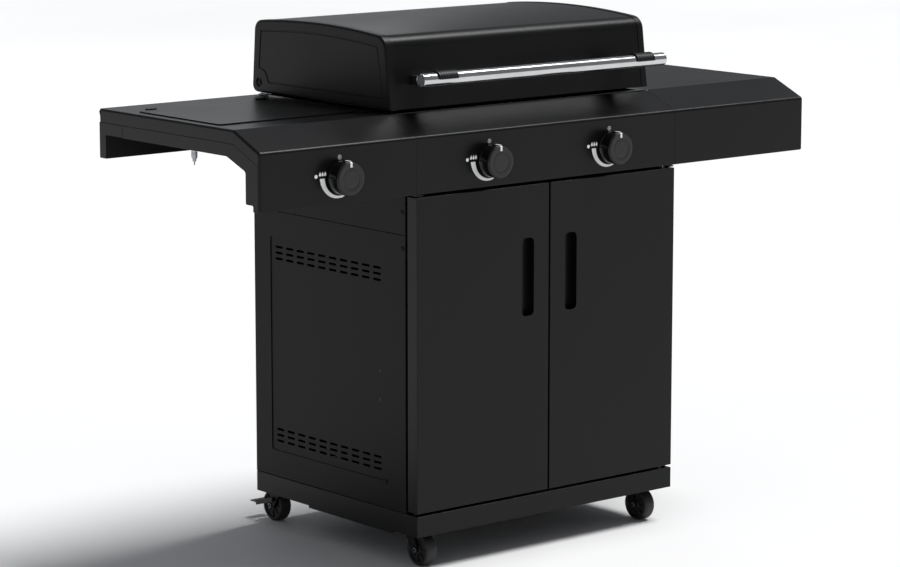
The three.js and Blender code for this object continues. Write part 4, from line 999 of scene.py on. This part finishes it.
def burnerPortShades(bm, x):
    look = portLook
    reach = (high("burner_left").z - low("burner_left").z) / 2 / mm - look["depth"]
    angle = math.radians(look["rise"])
    disc = circleLine((0, 0), look["radius"], 8)
    for side in (-1, 1):
        away = Vector((side * math.cos(angle), math.sin(angle)))
        spot = Vector((x, look["burnerZ"])) + away * reach
        along = Vector((-away.y, away.x))
        for i in range(int((look["back"] - look["front"]) / look["pitch"])):
            y = look["front"] + i * look["pitch"]
            rings = []
            for height in (0, 0.3):
                points = [(spot + along * p.x + away * height, y + p.y) for p in disc]
                rings.append([bm.verts.new(placed((v, flat.y), flat.x, "x")) for flat, v in points])
            joinRings(bm, *rings)
            bm.faces.new(rings[0])
            bm.faces.new(rings[1])
    settle(bm)


# each port is a dark disc of painted shade, not a hole
for name, x in (("left", -144), ("right", 144)):
    builtPiece(name + "BurnerPortShades", lambda bm: burnerPortShades(bm, x), "root", "dark_steel", 0)


# Foot of the igniter: a plated sleeve with its terminal, below the left table
def igniterFoot(bm):
    mesh = frame["nodes"]["side_burner_igniter"].data
    lowest = low("side_burner_igniter").z
    tips = [v.co for v in mesh.vertices if v.co.z < lowest + 2 * mm]
    x = sum(v.x for v in tips) / len(tips) / mm
    y = (sum(v.y for v in tips) / len(tips) - frontY) / mm
    profile = [(0, 14), (5.2, 14), (5.6, 13.4), (5.6, 4), (4.6, 2.6), (3.6, 1.6), (3.4, -2.4), (2.2, -3.6),
               (1.3, -4), (1.2, -9.6), (0.7, -10), (0, -10)]
    lathe(bm, profile, (x, y, (lowest - baseZ) / mm), "z", 28)


builtPiece("igniterFoot", igniterFoot, "root", "zinc_steel", 0)


# Door magnets on the crossbar
magnetLook = {"x": 30, "half": 14, "foot": 590, "top": 600.5, "corner": 1.5, "front": 34, "back": 46}


def doorMagnets(bm):
    look = magnetLook
    for x in (-look["x"], look["x"]):
        outline = boxLine(x - look["half"], x + look["half"], look["foot"], look["top"], look["corner"])
        plate(bm, [outline], look["front"], look["back"], "y")


builtPiece("doorMagnets", doorMagnets, "root", "black_plastic", 0.5 * mm)
print("cabinet details made")

softenedSlots = {
    "enamel": ["firebox", "side_burner_bowl"],
    "cast_iron": ["grate_left", "grate_right", "side_burner_grate"],
    "stainless": ["burner_left", "burner_right", "flame_tamer_left", "flame_tamer_right"],
    "zinc_steel": ["grease_tray", "gas_manifold", "side_burner_head", "hood_hinge_left", "hood_hinge_right",
                   "valve_stem_side", "valve_stem_left", "valve_stem_right"],
    "brass": ["valve_side", "valve_left", "valve_right"],
    "black_plastic": ["brake_pedal_rear_left", "brake_pedal_rear_right"],
    "ceramic": ["side_burner_igniter"],
}
for slot, nodes in softenedSlots.items():
    for node in nodes:
        softened(node, slot, 0.7 * mm if slot == "cast_iron" else 0.4 * mm)
print("frame parts finished")

# Floor, light and camera
floorLook = {
    "size": 80, "dark": (0.86, 0.86, 0.86), "light": (0.9, 0.9, 0.9), "bare": (0.9, 0.9, 0.9),
    "roughness": (0.75, 0.9), "specular": 0.2, "cloudScale": 0.4, "grainScale": 60, "wearScale": 3,
    "wear": 0, "relief": 0.02, "reliefDepth": 0.0003,
}
floorMesh = bmesh.new()
bmesh.ops.create_grid(floorMesh, x_segments=1, y_segments=1, size=floorLook["size"])
floorData = bpy.data.meshes.new("floor")
floorMesh.to_mesh(floorData)
floorMesh.free()
floorData.materials.append(finish("floorPaint", floorLook))
floor = bpy.data.objects.new("floor", floorData)
bpy.context.scene.collection.objects.link(floor)

lightLook = {
    "worldColour": (0.205, 0.21, 0.222), "sunStrength": 3.3, "sunAngle": 30, "sunTilt": (8, 26),
    "panelColour": (0.93, 0.97, 1.0), "panelStrength": 0.9, "panelDistance": 9, "panelSize": (5.6, 2.2),
    "panelElevation": 20, "panelAzimuth": 22, "stripStrength": 2.6, "stripDistance": 6,
    "stripSize": (1.1, 0.9), "stripElevation": 46, "stripAzimuth": 106,
}
world = bpy.data.worlds.new("studio")
bpy.context.scene.world = world
world.use_nodes = True
world.node_tree.nodes["Background"].inputs["Color"].default_value = (*lightLook["worldColour"], 1)

sunData = bpy.data.lights.new("overhead", "SUN")
sunData.energy = lightLook["sunStrength"]
sunData.angle = math.radians(lightLook["sunAngle"])
sun = bpy.data.objects.new("overhead", sunData)
sun.rotation_euler = [math.radians(a) for a in lightLook["sunTilt"]] + [0]
bpy.context.scene.collection.objects.link(sun)


# A soft panel of light, aimed at the grill
def addPanel(name, azimuth, elevation, distance, size, strength, colour):
    data = bpy.data.lights.new(name, "AREA")
    data.shape = "RECTANGLE"
    data.size, data.size_y = size
    data.color = colour
    data.energy = strength * math.pi * size[0] * size[1]
    panel = bpy.data.objects.new(name, data)
    a, e = math.radians(azimuth), math.radians(elevation)
    away = Vector((math.sin(a) * math.cos(e), math.cos(a) * math.cos(e), math.sin(e)))
    panel.location = Vector((0, 0, deckZ)) + away * distance
    panel.rotation_mode = "QUATERNION"
    panel.rotation_quaternion = away.to_track_quat("Z", "Y")
    bpy.context.scene.collection.objects.link(panel)
    return panel


addPanel("backPanel", lightLook["panelAzimuth"], lightLook["panelElevation"], lightLook["panelDistance"],
         lightLook["panelSize"], lightLook["panelStrength"], lightLook["panelColour"])
addPanel("edgeStrip", lightLook["stripAzimuth"], lightLook["stripElevation"], lightLook["stripDistance"],
         lightLook["stripSize"], lightLook["stripStrength"], lightLook["panelColour"])

cameraLook = {"position": (-3.8219, -4.5653, 1.4904), "yaw": 0.69343, "pitch": -0.17197, "lens": 128.8}
cameraData = bpy.data.cameras.new("camera")
cameraData.lens = cameraLook["lens"]
cameraData.sensor_width = 36
cameraData.clip_end = 200
camera = bpy.data.objects.new("camera", cameraData)
camera.location = cameraLook["position"]
camera.rotation_mode = "QUATERNION"
yaw, pitch = cameraLook["yaw"], cameraLook["pitch"]
ahead = Vector((math.sin(yaw) * math.cos(pitch), math.cos(yaw) * math.cos(pitch), math.sin(pitch)))
camera.rotation_quaternion = ahead.to_track_quat("-Z", "Y")
bpy.context.scene.collection.objects.link(camera)
bpy.context.scene.camera = camera
bpy.context.scene.view_settings.view_transform = "Standard"
print("stage, light and camera set")
